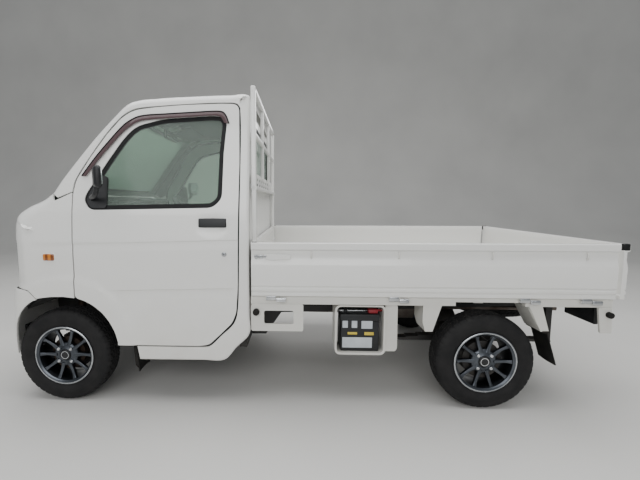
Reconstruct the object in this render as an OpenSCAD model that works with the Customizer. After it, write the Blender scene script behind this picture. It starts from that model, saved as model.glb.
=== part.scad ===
// Small cab-over pickup truck: drop-side cargo bed, right-hand drive, guard frame behind the cab.
// Millimetres. +X points forward, +Y to the left side, +Z up; Z = 0 is the ground.
// The origin lies on the ground under the middle of the overall length.
// Every moving piece is drawn shut, straight ahead and level.

/* [Overall] */
// distance between the front and rear axles
wheelbase = 2350; // [1900:10:2900]
// from the front axle to the front of the bumper
front_overhang = 360; // [300:5:450]
// from the rear axle to the rear of the tailgate
rear_overhang = 685; // [500:5:850]
// width over the body panels, mirrors left out
body_width = 1475; // [1200:5:1800]
// height of the middle of the roof above the ground
roof_height = 1765; // [1700:5:1850]

/* [Wheels] */
// distance between the middles of the left and right tyres
track = 1290; // [1050:5:1600]
// outside radius of the tyre
tyre_radius = 268; // [240:1:290]
// width of the tyre
tyre_width = 145; // [120:1:165]
// radius of the bead seat, half of twelve inches
bead_radius = 152.4; // [140:0.1:165]
// radius of the wheel flange
flange_radius = 170; // [158:1:180]
// thickness of the wheel barrel
barrel_wall = 8; // [5:1:14]
// radius of the wheel hub
hub_radius = 70; // [60:1:80]
// width of each of the ten spokes
spoke_width = 22; // [14:1:34]
// depth of each spoke along the axle
spoke_depth = 26; // [16:1:36]
// radius of the spindle that carries the wheel
spindle_radius = 14; // [10:1:20]
// diameter of the circle of wheel studs
stud_circle = 100; // [98:1:114.3]
// diameter of each wheel stud hole
stud_hole = 13; // [12:0.5:15]

/* [Steering] */
// side offset of the lower ball joint from the middle of the vehicle
ball_joint_y = 585; // [560:1:600]
// height of the lower ball joint
ball_joint_z = 178; // [160:1:200]
// lean of the steering axis towards the middle, in degrees
kingpin_lean = 11.4; // [8:0.1:13]
// radius of the suspension strut
strut_radius = 21; // [16:1:24]
// radius of the steering wheel rim
steering_wheel_radius = 183; // [165:1:195]
// radius of the section of the steering wheel rim
steering_rim_section = 13; // [10:1:17]

/* [Cab] */
// from the front of the bumper to the back of the cab
cab_length = 1417.5; // [1350:5:1500]
// thickness of the nose, the back and the roof
cab_wall = 35; // [25:1:50]
// thickness of the side of the cab with its pillars
side_thickness = 81; // [70:1:90]
// thickness of a door
door_thickness = 45; // [38:1:50]
// thickness of the outer skin layer of a door
door_skin = 12; // [8:1:16]
// gap round a door
door_gap = 6.5; // [6:0.5:9]
// thickness of the side and front glass
glass_thickness = 5; // [4:0.5:8]
// radius of the plan curve of the nose and windscreen
front_curve_radius = 3844; // [3000:10:6000]
// radius of the rounded corner of the nose, seen from above
nose_corner = 140; // [90:5:170]
// radius of the side-to-side crown of the roof
roof_crown_radius = 4186; // [3000:10:8000]
// radius of the opening of the front wheel arch
arch_radius = 298; // [290:1:310]
// height of the top of the cab floor
cab_floor_top = 405; // [395:1:430]
// height of the deck under the seats
seat_deck_top = 690; // [680:5:720]
// thickness of the floor panels
floor_thickness = 35; // [25:1:40]

/* [Bed] */
// height of the bed floor
bed_floor_top = 632; // [630:1:640]
// height of the top of the gates
gate_top = 922; // [850:1:980]
// thickness of a gate from its inner face to its top rail
gate_thickness = 32.5; // [26:0.5:36]
// height of the hinge line of the gates
gate_hinge_z = 615; // [610:1:618]
// how far the side gate hinge line lies inside the widest line
gate_hinge_inset = 10.5; // [9:0.5:12]
// radius of a gate hinge pin
gate_pin = 4; // [3:0.5:5]
// radius of a gate hinge barrel
gate_barrel = 8; // [7:0.5:9]
// length of a gate hinge
gate_hinge_length = 110; // [90:5:140]
// height of the top of the guard frame
guard_top = 1753; // [1700:1:1765]
// width of the posts of the guard frame
guard_post = 38; // [30:1:50]

/* [Hardware] */
// running clearance between a pin and its bore
pin_clearance = 0.5; // [0.3:0.1:1]
// gap between gates and the pieces next to them
gate_gap = 6; // [6:0.5:10]
// spacing of the two number plate bolts
plate_bolt_spacing = 210; // [200:1:220]
// diameter of the number plate bolt holes
plate_bolt_hole = 7; // [6:0.5:8]
// diameter of the towing eye hole under the nose
tow_hole = 28; // [20:1:32]

/* [Hidden] */
$fn = 96;
eps = 0.01;
big = 4000;
overall_length = front_overhang + wheelbase + rear_overhang;
x_front = overall_length / 2;
x_rear = -overall_length / 2;
x_axle_front = x_front - front_overhang;
x_axle_rear = x_rear + rear_overhang;
half_width = body_width / 2;
half_track = track / 2;
x_cab_back = x_front - cab_length;
x_nose = x_front - 25.5;
x_bed_front = x_cab_back - 13.5;
belt_z = 960;
lean_z = 1100;
lean_in = 15.5;
roof_split_z = 1678;
top_in = 113.5;
cowl_z = 1205;
x_curve_centre = x_nose - front_curve_radius;
curve_angle = 16;
sill_outer = half_width - 25.5;
arch_lip = 15;
guard_depth = 26;
mirror_turn = 30;
foot_half = 440;
rail_inner = 300;
rail_width = 50;
rail_top = cab_floor_top - floor_thickness;
rail_height = 90;
rear_rail_top = 575;

// centre line of the nose, windscreen and roof: forward of the front axle, height
cab_profile = [
    [-1400, 200], [330, 200], [334.5, 640], [334.5, 986], [318, 1045], [291, 1080], [228, 1115],
    [142, 1150], [85, 1191], [31, 1265], [-58, 1378], [-159, 1501], [-257, 1610], [-342, 1700],
    [-400, 1728], [-533, 1750], [-807, 1762], [-950, roof_height], [-1400, roof_height]
];

// the outline of a door: forward of the front axle, height
door_profile = [
    [-102, 1192], [-118, 1259], [-191, 1382], [-276, 1506], [-353, 1595], [-420, 1638], [-543, 1655],
    [-702, 1667], [-903, 1671], [-982, 1669], [-1004, 1645], [-1010, 1342], [-1002, 685], [-992, 536],
    [-969, 478], [-905, 415], [-841, 354], [-784, 345], [-331, 345], [-331, 360], [-318, 415],
    [-290, 474], [-250, 528], [-200, 570], [-150, 597], [-102, 610]
];

// the outline of the glass of a door: forward of the front axle, height
glass_profile = [
    [-181, 1149], [-192, 1180], [-300, 1352], [-386, 1480], [-446, 1538], [-593, 1575],
    [-860, 1590], [-905, 1585], [-923, 1560], [-909, 1404], [-903, 1161], [-862, 1122],
    [-275, 1111], [-205, 1111]
];

// the outline of the side of the cab below the roof: forward of the front axle, height
side_profile = [
    [-1063, 1800], [-1063, 416], [-922, 266], [-425, 261], [-425, 345], [-332, 345], [-332, 603],
    [119, 603], [163, 649], [233, 658], [420, 658], [420, 1800]
];

// ---------- helpers ----------

// a side-view outline (forward, up) given a width from y0 to y1
module along_y(y0, y1) {
    translate([0, y1, 0])
        rotate([90, 0, 0])
            linear_extrude(height = y1 - y0)
                children();
}

// a front-view outline (left, up) given a length from x0 to x1
module along_x(x0, x1) {
    translate([x0, 0, 0])
        rotate([90, 0, 90])
            linear_extrude(height = x1 - x0)
                children();
}

// a box from its low corner to its high corner
module block(low, high) {
    translate(low)
        cube(high - low);
}

// a bar along X, Y or Z with a round section
module rod_x(x0, x1, y, z, r) {
    translate([x0, y, z])
        rotate([0, 90, 0])
            cylinder(h = x1 - x0, r = r);
}

module rod_y(x, y0, y1, z, r) {
    translate([x, y1, z])
        rotate([90, 0, 0])
            cylinder(h = y1 - y0, r = r);
}

// a piece and its mirror image on the other side
module both_sides() {
    children();
    mirror([0, 1, 0])
        children();
}

// a side-view outline placed at the front axle
module at_front_axle() {
    translate([x_axle_front, 0, 0])
        children();
}

// half width of the body at a depth t below its side surface
function side_y(t) = half_width - t;

// the layer of the left side between two depths below its surface
module side_layer(t0, t1, x0, x1) {
    along_x(x0, x1)
        polygon([
            [side_y(t0), 0], [side_y(t0), belt_z], [side_y(t0) - lean_in, lean_z],
            [side_y(t0) - top_in, roof_split_z + 2 * door_gap],
            [side_y(t1) - top_in, roof_split_z + 2 * door_gap],
            [side_y(t1) - lean_in, lean_z], [side_y(t1), belt_z], [side_y(t1), 0]
        ]);
}

// the solid inside the nose, windscreen and roof lines, a depth t below them
module front_mass(t) {
    translate([x_curve_centre, 0, 0])
        rotate([0, 0, -curve_angle])
            rotate_extrude(angle = 2 * curve_angle, $fn = 720)
                translate([x_axle_front - x_curve_centre, 0])
                    offset(delta = -t)
                        polygon(cab_profile);
}

// the rounded corners of the nose, cut away
module corner_cut(x_corner, r, z0, z1) {
    both_sides()
        translate([0, 0, z0])
            linear_extrude(height = z1 - z0)
                difference() {
                    translate([x_corner - r, half_width - r])
                        square([2 * r, 2 * r]);
                    translate([x_corner - r, half_width - r])
                        circle(r = r);
                }
}

// the space of a front wheel as it steers
module front_wheel_space() {
    at_front_axle()
        translate([-34, 0, 318])
            rotate([90, 0, 0])
                translate([0, 0, -half_width - 1])
                    cylinder(h = half_width - 395, r = arch_radius);
}

// ---------- running gear ----------

module tyre() {
    rotate([-90, 0, 0])
        rotate_extrude()
            polygon([
                [bead_radius, -tyre_width / 2 + 15], [flange_radius, -tyre_width / 2 + 12],
                [flange_radius + 12, -tyre_width / 2 + 4], [tyre_radius - 55, -tyre_width / 2],
                [tyre_radius - 18, -tyre_width / 2 + 8], [tyre_radius - 5, -tyre_width / 2 + 18],
                [tyre_radius, -tyre_width / 2 + 32], [tyre_radius, tyre_width / 2 - 32],
                [tyre_radius - 5, tyre_width / 2 - 18], [tyre_radius - 18, tyre_width / 2 - 8],
                [tyre_radius - 55, tyre_width / 2], [flange_radius + 12, tyre_width / 2 - 4],
                [flange_radius, tyre_width / 2 - 12], [bead_radius, tyre_width / 2 - 15]
            ]);
}

// alloy wheel, face towards +Y
module rim() {
    face = tyre_width / 2 - 16;
    difference() {
        union() {
            rotate([-90, 0, 0])
                rotate_extrude()
                    polygon([
                        [bead_radius - barrel_wall, -tyre_width / 2 + 6], [flange_radius - 4, -tyre_width / 2 + 6],
                        [flange_radius, -tyre_width / 2 + 12], [bead_radius, -tyre_width / 2 + 15],
                        [bead_radius, tyre_width / 2 - 15], [flange_radius, tyre_width / 2 - 12],
                        [flange_radius - 4, tyre_width / 2 - 6],
                        [bead_radius - barrel_wall, tyre_width / 2 - 6]
                    ]);
            translate([0, face, 0])
                rotate([90, 0, 0])
                    cylinder(h = spoke_depth + 10, r = hub_radius);
            for (i = [0 : 9])
                rotate([0, 36 * i, 0])
                    translate([-spoke_width / 2, face - spoke_depth, hub_radius - 8])
                        cube([spoke_width, spoke_depth, bead_radius - barrel_wall - hub_radius + 10]);
        }
        rotate([-90, 0, 0])
            translate([0, 0, -tyre_width])
                cylinder(h = tyre_width + face - 8, r = spindle_radius + pin_clearance);
        for (i = [0 : 3])
            rotate([0, 90 * i, 0])
                translate([0, face + 1, stud_circle / 2])
                    rotate([90, 0, 0])
                        cylinder(h = spoke_depth + 14, r = stud_hole / 2, $fn = 32);
    }
}

module place_wheel(x, side) {
    translate([x, side * half_track, tyre_radius])
        mirror([0, side < 0 ? 1 : 0, 0])
            children();
}

// the left upright with its strut, spindle, brake drum and steering arm
module knuckle() {
    hub_back = half_track + tyre_width / 2 - 16 - spoke_depth - 10;
    difference() {
        union() {
            translate([x_axle_front, ball_joint_y, ball_joint_z])
                rotate([kingpin_lean, 0, 0]) {
                    translate([0, 0, 10])
                        cylinder(h = 30, r = 24);
                    translate([0, 0, 38])
                        cylinder(h = 400, r = strut_radius);
                    translate([0, 0, 300])
                        cylinder(h = 10, r = 32);
                }
            translate([x_axle_front, 540, tyre_radius])
                rotate([-90, 0, 0])
                    cylinder(h = 35, r = 42);
            translate([x_axle_front, 572, tyre_radius])
                rotate([-90, 0, 0])
                    cylinder(h = hub_back - 573, r = 96);
            rod_y(x_axle_front, 560, hub_back + 26, tyre_radius, spindle_radius);
            block([x_axle_front - 120, 530, 232], [x_axle_front, 552, 262]);
        }
        translate([x_axle_front, ball_joint_y, ball_joint_z])
            rotate([kingpin_lean, 0, 0])
                translate([0, 0, -50])
                    cylinder(h = 80, r = 10 + pin_clearance);
    }
}

// ball joint pin, lower arm and upper mount of the left front suspension, and the left leaf spring
module suspension_left() {
    translate([x_axle_front, ball_joint_y, ball_joint_z])
        rotate([kingpin_lean, 0, 0])
            translate([0, 0, -24])
                cylinder(h = 50, r = 10);
    difference() {
        union() {
            block([x_axle_front - 24, rail_inner + rail_width - 1, ball_joint_z - 34],
                [x_axle_front + 24, ball_joint_y + 20, ball_joint_z - 14]);
            block([x_axle_front - 24, rail_inner + rail_width - 30, ball_joint_z - 34],
                [x_axle_front + 24, rail_inner + rail_width, rail_top - rail_height]);
        }
        block([x_axle_front - 30, ball_joint_y + 12, 0], [x_axle_front + 30, half_width, ball_joint_z + 30]);
    }
    for (i = [0 : 3])
        block([x_axle_rear - 500 + 70 * i, 420, tyre_radius + 32 + 8 * i],
            [x_axle_rear + 500 - 70 * i, 476, tyre_radius + 40 + 8 * i]);
    for (s = [-1, 1])
        block([x_axle_rear + s * 485 - 18, 430, tyre_radius + 38],
            [x_axle_rear + s * 485 + 18, 466, rear_rail_top - 60]);
    for (s = [-1, 1])
        block([x_axle_rear + s * 485 - 18, rail_inner + rail_width, rear_rail_top - 88],
            [x_axle_rear + s * 485 + 18, 466, rear_rail_top - 60]);
}

module suspension() {
    both_sides()
        suspension_left();
}

module rear_axle() {
    hub_back = half_track + tyre_width / 2 - 16 - spoke_depth - 10;
    rod_y(x_axle_rear, -560, 560, tyre_radius, 32);
    translate([x_axle_rear, 0, tyre_radius])
        rotate([0, 90, 0])
            translate([0, 0, -95])
                cylinder(h = 190, r = 108);
    both_sides() {
        rod_y(x_axle_rear, 550, hub_back - 1, tyre_radius, 105);
        rod_y(x_axle_rear, 550, hub_back + 26, tyre_radius, spindle_radius);
    }
    // propeller shaft
    rod_x(x_axle_rear + 60, x_cab_back + 140, 0, rail_top - 15, 30);
}

module wheel_front_left() {
    place_wheel(x_axle_front, 1)
        rim();
}

module chassis_frame() {
    both_sides() {
        along_y(rail_inner, rail_inner + rail_width)
            polygon([
                [x_front - 130, rail_top - rail_height], [x_front - 130, rail_top],
                [x_cab_back - 15, rail_top], [x_cab_back - 105, rear_rail_top],
                [x_rear + 60, rear_rail_top], [x_rear + 60, rear_rail_top - 80],
                [x_cab_back - 160, rear_rail_top - rail_height - 60], [x_cab_back - 60, rail_top - rail_height]
            ]);
        // outriggers that carry the floor of the cab
        for (x = [x_cab_back + 20, x_axle_front - 340])
            block([x, rail_inner + rail_width - eps, rail_top - 60], [x + 45, half_width - 90, rail_top]);
    }
    for (x = [x_front - 180, x_axle_front - 20, x_cab_back + 500, x_cab_back + 120])
        block([x, -rail_inner - eps, rail_top - rail_height], [x + 40, rail_inner + eps, rail_top - 50]);
    for (x = [x_cab_back - 300, x_axle_rear + 520, x_axle_rear - 400, x_rear + 60])
        block([x, -rail_inner - eps, rear_rail_top - 60], [x + 40, rail_inner + eps, rear_rail_top - 10]);
    // towing eye plate under the nose
    difference() {
        block([x_front - 135, 240, rail_top - rail_height - 60], [x_front - 78, 300, rail_top - rail_height - 48]);
        translate([x_front - 106, 270, 0])
            cylinder(h = rail_top, r = tow_hole / 2);
    }
    block([x_front - 150, 260, rail_top - rail_height - 60], [x_front - 130, 302, rail_top - 10]);
}

module engine_block() {
    block([x_cab_back + 140, -200, rail_top - 50], [x_cab_back + 520, 210, seat_deck_top - floor_thickness - 30]);
}

module fuel_tank() {
    block([x_axle_rear + 560, -600, 350], [x_axle_rear + 1060, -rail_inner - rail_width, 530]);
    for (dx = [620, 960])
        block([x_axle_rear + dx, -rail_inner - rail_width - 40, 525], [x_axle_rear + dx + 30, -rail_inner - rail_width, rear_rail_top - 5]);
}

module exhaust() {
    y_box = rail_inner - 65;
    rod_x(x_axle_rear + 260, x_axle_rear + 700, y_box, rear_rail_top - 150, 60);
    rod_x(x_rear + 30, x_axle_rear + 270, y_box + 37, rear_rail_top - 125, 15);
    rod_x(x_axle_rear + 690, x_cab_back + 140, y_box - 40, rear_rail_top - 175, 17);
    for (dx = [330, 600])
        block([x_axle_rear + dx, y_box + 48, rear_rail_top - 135], [x_axle_rear + dx + 20, rail_inner, rear_rail_top - 95]);
}

// ---------- cab ----------

module cab_floor() {
    y_in = half_width - side_thickness;
    x_foot = x_axle_front - 352;
    toe = x_front - 140;
    difference() {
        union() {
            along_y(-y_in, y_in)
                polygon([
                    [x_cab_back + cab_wall, seat_deck_top], [x_cab_back + 560, seat_deck_top],
                    [x_cab_back + 640, cab_floor_top], [x_foot, cab_floor_top], [x_foot, rail_top],
                    [x_cab_back + 615, rail_top], [x_cab_back + 535, seat_deck_top - floor_thickness],
                    [x_cab_back + cab_wall, seat_deck_top - floor_thickness]
                ]);
            // footwell and toe board between the wheelhouses
            along_y(-foot_half, foot_half)
                polygon([
                    [x_foot - 20, cab_floor_top], [toe - 100, cab_floor_top], [toe - floor_thickness, 540],
                    [toe - floor_thickness, 870], [toe, 870], [toe, 530], [toe - 85, rail_top],
                    [x_foot - 20, rail_top]
                ]);
        }
        both_sides()
            front_wheelhouse_space(0);
    }
    // legs that carry the deck on the frame
    both_sides()
        block([x_cab_back + 45, rail_inner, rail_top], [x_cab_back + 60, y_in - 30, seat_deck_top - floor_thickness]);
    both_sides()
        intersection() {
            difference() {
                front_wheelhouse_space(-14);
                front_wheelhouse_space(0);
            }
            block([0, 0, rail_top], [x_front - 122, y_in, 900]);
        }
}

// round space over a front wheel, with its walls moved out by -t
module front_wheelhouse_space(t) {
    translate([x_axle_front - 6, half_width - arch_lip, tyre_radius + 30])
        rotate([90, 0, 0])
            cylinder(h = half_width - arch_lip - 392 - t, r = 328 - t);
}

module door_outline(grow) {
    at_front_axle()
        along_y(200, half_width + 60)
            offset(delta = grow)
                polygon(door_profile);
}

module cab_side() {
    difference() {
        intersection() {
            side_layer(0, side_thickness, x_cab_back, x_front);
            front_mass(0);
            at_front_axle()
                along_y(300, half_width + 1)
                    polygon(side_profile);
            block([x_cab_back, 0, 0], [x_front, half_width, roof_split_z]);
        }
        corner_cut(x_nose - 27, nose_corner, 0, big / 2);
        // recess the door shuts into, and the doorway inside it
        intersection() {
            door_outline(door_gap);
            side_layer(-20, door_thickness + door_gap, x_cab_back, x_front);
        }
        door_outline(-42);
        front_wheel_space();
        front_wheelhouse_space(0);
        windscreen_space();
        headlamp_space();
    }
    // seat of the hinge pins
    for (z = door_hinge_heights) {
        block([door_hinge_x - 6, half_width - side_thickness, z - 12], [door_hinge_x + 6, door_hinge_y, z + 12]);
        translate([door_hinge_x, door_hinge_y, z - 29])
            cylinder(h = 58, r = 4);
    }
}

door_hinge_x = x_axle_front - 109.5;
door_hinge_y = half_width - 7.5;
door_hinge_heights = [720, 925];

module cab_sides() {
    both_sides()
        cab_side();
}

module door() {
    difference() {
        union() {
            intersection() {
                door_outline(0);
                side_layer(0, door_skin, x_cab_back, x_front);
            }
            intersection() {
                door_outline(-12);
                side_layer(door_skin - eps, door_thickness, x_cab_back, x_front);
            }
        }
        at_front_axle()
            along_y(200, half_width + 60)
                polygon(glass_profile);
        // bevel of the front edge, and notches for the hinges
        translate([x_axle_front - 102, half_width, 0])
            rotate([0, 0, 45])
                block([-3, -3, 0], [3, 3, belt_z + 300]);
        for (z = door_hinge_heights)
            block([door_hinge_x - 14, half_width - door_thickness - 1, z - 34], [door_hinge_x + 20, half_width + 1, z + 34]);
    }
    for (z = door_hinge_heights)
        difference() {
            union()
                for (dz = [-29, 15]) {
                    translate([door_hinge_x, door_hinge_y, z + dz])
                        cylinder(h = 14, r = 7);
                    block([door_hinge_x - 16, door_hinge_y - 6, z + dz], [door_hinge_x, door_hinge_y + 4, z + dz + 14]);
                }
            translate([door_hinge_x, door_hinge_y, z - 40])
                cylinder(h = 80, r = 4 + pin_clearance);
        }
}

module door_glass() {
    intersection() {
        at_front_axle()
            along_y(200, half_width + 60)
                polygon(glass_profile);
        side_layer(16, 16 + glass_thickness, x_cab_back, x_front);
    }
}

module mirror_piece() {
    mx = x_axle_front - 295;
    // foot in the front corner of the window, arm and head
    intersection() {
        at_front_axle()
            along_y(200, half_width + 60)
                polygon(glass_profile);
        side_layer(-14, 16, x_cab_back, x_front);
        block([x_axle_front - 290, 0, 1100], [x_axle_front, half_width + 60, 1262]);
    }
    block([mx + 28, half_width - 26, 1150], [mx + 60, half_width + 60, 1180]);
    block([mx - 20, half_width + 40, 1150], [mx + 60, half_width + 60, 1180]);
    translate([mx - 14, half_width + 72, 1210])
        rotate([0, 0, mirror_turn])
            block([-25, -52, -100], [25, 64, 112]);
}

module windscreen_space() {
    along_x(x_axle_front - 420, x_front + 50)
        polygon([
            [-half_width + 90, cowl_z], [half_width - 90, cowl_z],
            [half_width - 172, roof_split_z], [-half_width + 172, roof_split_z]
        ]);
}

module windscreen() {
    intersection() {
        difference() {
            front_mass(6);
            front_mass(6 + glass_thickness);
        }
        windscreen_space();
    }
}

module headlamp_space() {
    both_sides()
        block([x_front - 160, half_width - 265, 662], [x_front + 10, half_width - 12, 948]);
}

module nose_solid(t) {
    intersection() {
        front_mass(t);
        block([x_axle_front - 50, -half_width + side_thickness, 560], [x_front, half_width - side_thickness, cowl_z]);
    }
}

module cab_front_panel() {
    difference() {
        intersection() {
            difference() {
                front_mass(0);
                front_mass(cab_wall);
            }
            block([x_axle_front + 10, -half_width + side_thickness, 658], [x_front, half_width - side_thickness, cowl_z]);
        }
        corner_cut(x_nose - 27, nose_corner, 0, big / 2);
        headlamp_space();
        both_sides()
            side_layer(-50, side_thickness, x_axle_front, x_front);
    }
}

module headlamps() {
    difference() {
        intersection() {
            front_mass(1);
            headlamp_space();
        }
        corner_cut(x_nose - 28, nose_corner, 0, big / 2);
        block([0, -half_width, 0], [x_front - 135, half_width, big / 2]);
    }
}

module cab_back_panel() {
    difference() {
        block([x_cab_back, -half_width + side_thickness + lean_in, 420], [x_cab_back + cab_wall, half_width - side_thickness - lean_in, roof_split_z]);
        block([x_cab_back - 1, -470, 1250], [x_cab_back + cab_wall + 1, 470, 1590]);
        both_sides()
            side_layer(-50, side_thickness, x_cab_back - 5, x_cab_back + 100);
    }
    difference() {
        intersection() {
            both_sides()
                block([x_cab_back, half_width - side_thickness - lean_in - eps, 420], [x_cab_back + cab_wall, half_width - side_thickness, lean_z]);
            block([x_cab_back, -half_width, 0], [x_front, half_width, big / 2]);
        }
        both_sides()
            side_layer(-50, side_thickness, x_cab_back - 5, x_cab_back + 100);
    }
}

module rear_window() {
    block([x_cab_back + 14, -470, 1250], [x_cab_back + 14 + glass_thickness, 470, 1590]);
}

module roof_body(t) {
    intersection() {
        front_mass(t);
        along_x(x_cab_back + t, x_front)
            polygon([
                [-half_width + top_in + t, 0], [-half_width + top_in + t, roof_split_z],
                [-half_width + top_in + t, 1692], [-half_width + 147 + t, 1722], [-half_width + 260, 1770],
                [half_width - 260, 1770], [half_width - 147 - t, 1722], [half_width - top_in - t, 1692],
                [half_width - top_in - t, roof_split_z], [half_width - top_in - t, 0]
            ]);
        rod_x(x_cab_back, x_front, 0, roof_height - roof_crown_radius, roof_crown_radius - t);
    }
}

module roof_panel() {
    difference() {
        roof_body(0);
        roof_body(cab_wall);
        block([x_cab_back - 1, -half_width, 0], [x_front, half_width, roof_split_z]);
    }
}

module front_bumper() {
    difference() {
        intersection() {
            translate([x_front - front_curve_radius, 0, 0])
                rotate([0, 0, -curve_angle])
                    rotate_extrude(angle = 2 * curve_angle, $fn = 720)
                        translate([front_curve_radius, 0])
                            polygon([
                                [-420, 271], [-14, 271], [-2, 380], [0, 440], [-10, 560], [-26, 650],
                                [-420, 650]
                            ]);
            block([x_front - 400, -half_width, 271], [x_front, half_width, 650]);
        }
        corner_cut(x_front - 15, nose_corner + 10, 0, 800);
        // hollow behind the skin
        block([x_front - 410, -half_width + 45, 200], [x_front - 118, half_width - 45, 700]);
        block([x_front - 260, -half_width + 170, 200], [x_front - 62, half_width - 170, 700]);
        both_sides() {
            front_wheel_space();
            translate([x_axle_front - 6, half_width - 15, tyre_radius + 30])
                rotate([90, 0, 0])
                    cylinder(h = 400, r = 320);
            // the rear edge follows the panel above it
            at_front_axle()
                along_y(300, half_width + 1)
                    polygon([[-100, 300], [-100, 700], [226, 700], [226, 651], [161, 643], [117, 597], [0, 560]]);
        }
        both_sides()
            block([0, half_width - 60, 0], [x_axle_front + 272, half_width + 1, 300]);
        // number plate bolts
        for (s = [-1, 1])
            rod_x(x_front - 80, x_front + 5, s * plate_bolt_spacing / 2, 430, plate_bolt_hole / 2);
    }
}

module dashboard() {
    intersection() {
            along_y(-half_width + side_thickness + 32, half_width - side_thickness - 32)
                polygon([
                    [x_axle_front - 190, 870], [x_axle_front - 215, 1080], [x_axle_front - 150, 1128],
                    [x_axle_front + 45, 1150], [x_axle_front + 160, 1080], [x_axle_front + 215, 985],
                    [x_axle_front + 215, 870]
                ]);
            front_mass(cab_wall + 6);
    }
    // steering column
    translate(steering_centre)
        rotate([0, -steering_tilt, 0]) {
            translate([0, 0, -290])
                cylinder(h = 284, r = 22);
            translate([0, 0, -14])
                cylinder(h = 34, r = 9);
        }
}

steering_tilt = 50;
steering_centre = [x_axle_front - 400, -330, 1040];

module steering_wheel() {
    translate(steering_centre)
        rotate([0, -steering_tilt, 0])
            difference() {
                union() {
                    rotate_extrude()
                        translate([steering_wheel_radius - steering_rim_section, 20])
                            circle(r = steering_rim_section, $fn = 32);
                    cylinder(h = 32, r = 42);
                    for (a = [0, 120, 240])
                        rotate([0, 0, a])
                            block([30, -14, 10], [steering_wheel_radius - steering_rim_section, 14, 22]);
                }
                translate([0, 0, -10])
                    cylinder(h = 31, r = 9 + pin_clearance);
            }
}

module seat() {
    x_seat = x_cab_back + 150;
    z_seat = seat_deck_top + 0.3;
    along_y(90, 590)
        polygon([
            [x_seat, z_seat], [x_seat + 430, z_seat], [x_seat + 440, z_seat + 95],
            [x_seat + 410, z_seat + 125], [x_seat + 105, z_seat + 105], [x_seat + 20, z_seat + 560],
            [x_seat - 60, z_seat + 560], [x_seat - 15, z_seat + 60]
        ]);
    along_y(235, 445)
        polygon([
            [x_seat + 5, z_seat + 555], [x_seat - 10, z_seat + 680], [x_seat - 70, z_seat + 680],
            [x_seat - 50, z_seat + 555]
        ]);
}

module seats() {
    both_sides()
        seat();
}

// ---------- bed ----------

y_gate_in = half_width - gate_thickness;
y_gate_hinge = half_width - gate_hinge_inset;
x_gate_rear = x_rear + 41.5 + gate_gap;
x_gate_front = x_bed_front - 4;
x_tail_hinge = x_rear + 9;
tail_depth = 41.5;
gate_bottom = bed_floor_top;

module bed_floor() {
    x_end = x_gate_rear - 2;
    difference() {
        union() {
            block([x_end, -y_gate_in + gate_gap, bed_floor_top - 20], [x_bed_front - guard_depth, y_gate_in - gate_gap, bed_floor_top]);
            block([x_end, -y_gate_in + gate_gap, bed_floor_top - 20], [x_bed_front, y_gate_in - gate_gap, bed_floor_top - 7]);
            both_sides()
                block([x_end, sill_outer - 32, sill_bottom], [x_bed_front, sill_outer, bed_floor_top - 7]);
            for (i = [0 : 6])
                block([x_bed_front - 60 - i * (x_bed_front - x_end - 70) / 6, -sill_outer + 32 - eps, rear_rail_top],
                    [x_bed_front - 10 - i * (x_bed_front - x_end - 70) / 6, sill_outer - 32 + eps, bed_floor_top - 19]);
            block([x_end, -sill_outer, sill_bottom], [x_end + 30, sill_outer, bed_floor_top - 7]);
        }
        // lip over each rear wheel
        both_sides()
            block([x_axle_rear - 190, sill_outer - 90, 560], [x_axle_rear + 175, sill_outer + 1, 604]);
    }
    both_sides()
        for (x = side_hinges)
            translate([x, y_gate_hinge, gate_hinge_z]) {
                block([-22, sill_outer - y_gate_hinge - 5, -8], [22, 0, 8]);
                rod_x(-gate_hinge_length / 2, gate_hinge_length / 2, 0, 0, gate_pin);
            }
    for (y = tail_hinges)
        translate([x_tail_hinge, y, gate_hinge_z]) {
            block([0, -22, -8], [x_end - x_tail_hinge + 5, 22, 8]);
            rod_y(0, -gate_hinge_length / 2, gate_hinge_length / 2, 0, gate_pin);
        }
}

side_hinges = [
    x_bed_front - 139, x_bed_front - 798, x_axle_rear - 203, x_rear + 166
];
tail_hinges = [-half_width + 130, 0, half_width - 130];

// the moving leaves of a side gate hinge
module gate_leaves() {
    difference() {
        union()
            for (s = [-1, 1]) {
                block([s * 40 - 13, -6, 0], [s * 40 + 13, 7, 32]);
                rod_x(s * 40 - 13, s * 40 + 13, 0, 0, gate_barrel);
            }
        rod_x(-80, 80, 0, 0, gate_pin + pin_clearance);
    }
}

module side_gate() {
    difference() {
        along_x(x_gate_rear, x_gate_front)
            polygon([
                [y_gate_in, gate_bottom], [half_width - 6, gate_bottom], [half_width - 6, 660],
                [half_width - 9, 664], [half_width - 6, 686], [half_width - 6, 802], [half_width - 15, 834],
                [half_width - 15, gate_top - 37], [half_width, gate_top - 37], [half_width, gate_top],
                [y_gate_in, gate_top]
            ]);
    }
    for (x = side_hinges)
        translate([x, y_gate_hinge, gate_hinge_z])
            gate_leaves();
}

module tailgate() {
    y_end = half_width - 3;
    along_y(-y_end, y_end)
        polygon([
            [x_rear + tail_depth, gate_bottom + 9], [x_rear + 6, gate_bottom + 9], [x_rear + 6, 686],
            [x_rear, 692], [x_rear, 800], [x_rear + 12, 834], [x_rear + 12, gate_top - 37],
            [x_rear, gate_top - 37], [x_rear, gate_top], [x_rear + tail_depth, gate_top]
        ]);
    for (y = tail_hinges)
        translate([x_tail_hinge, y, gate_hinge_z])
            rotate([0, 0, 90])
                gate_leaves();
}

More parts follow.
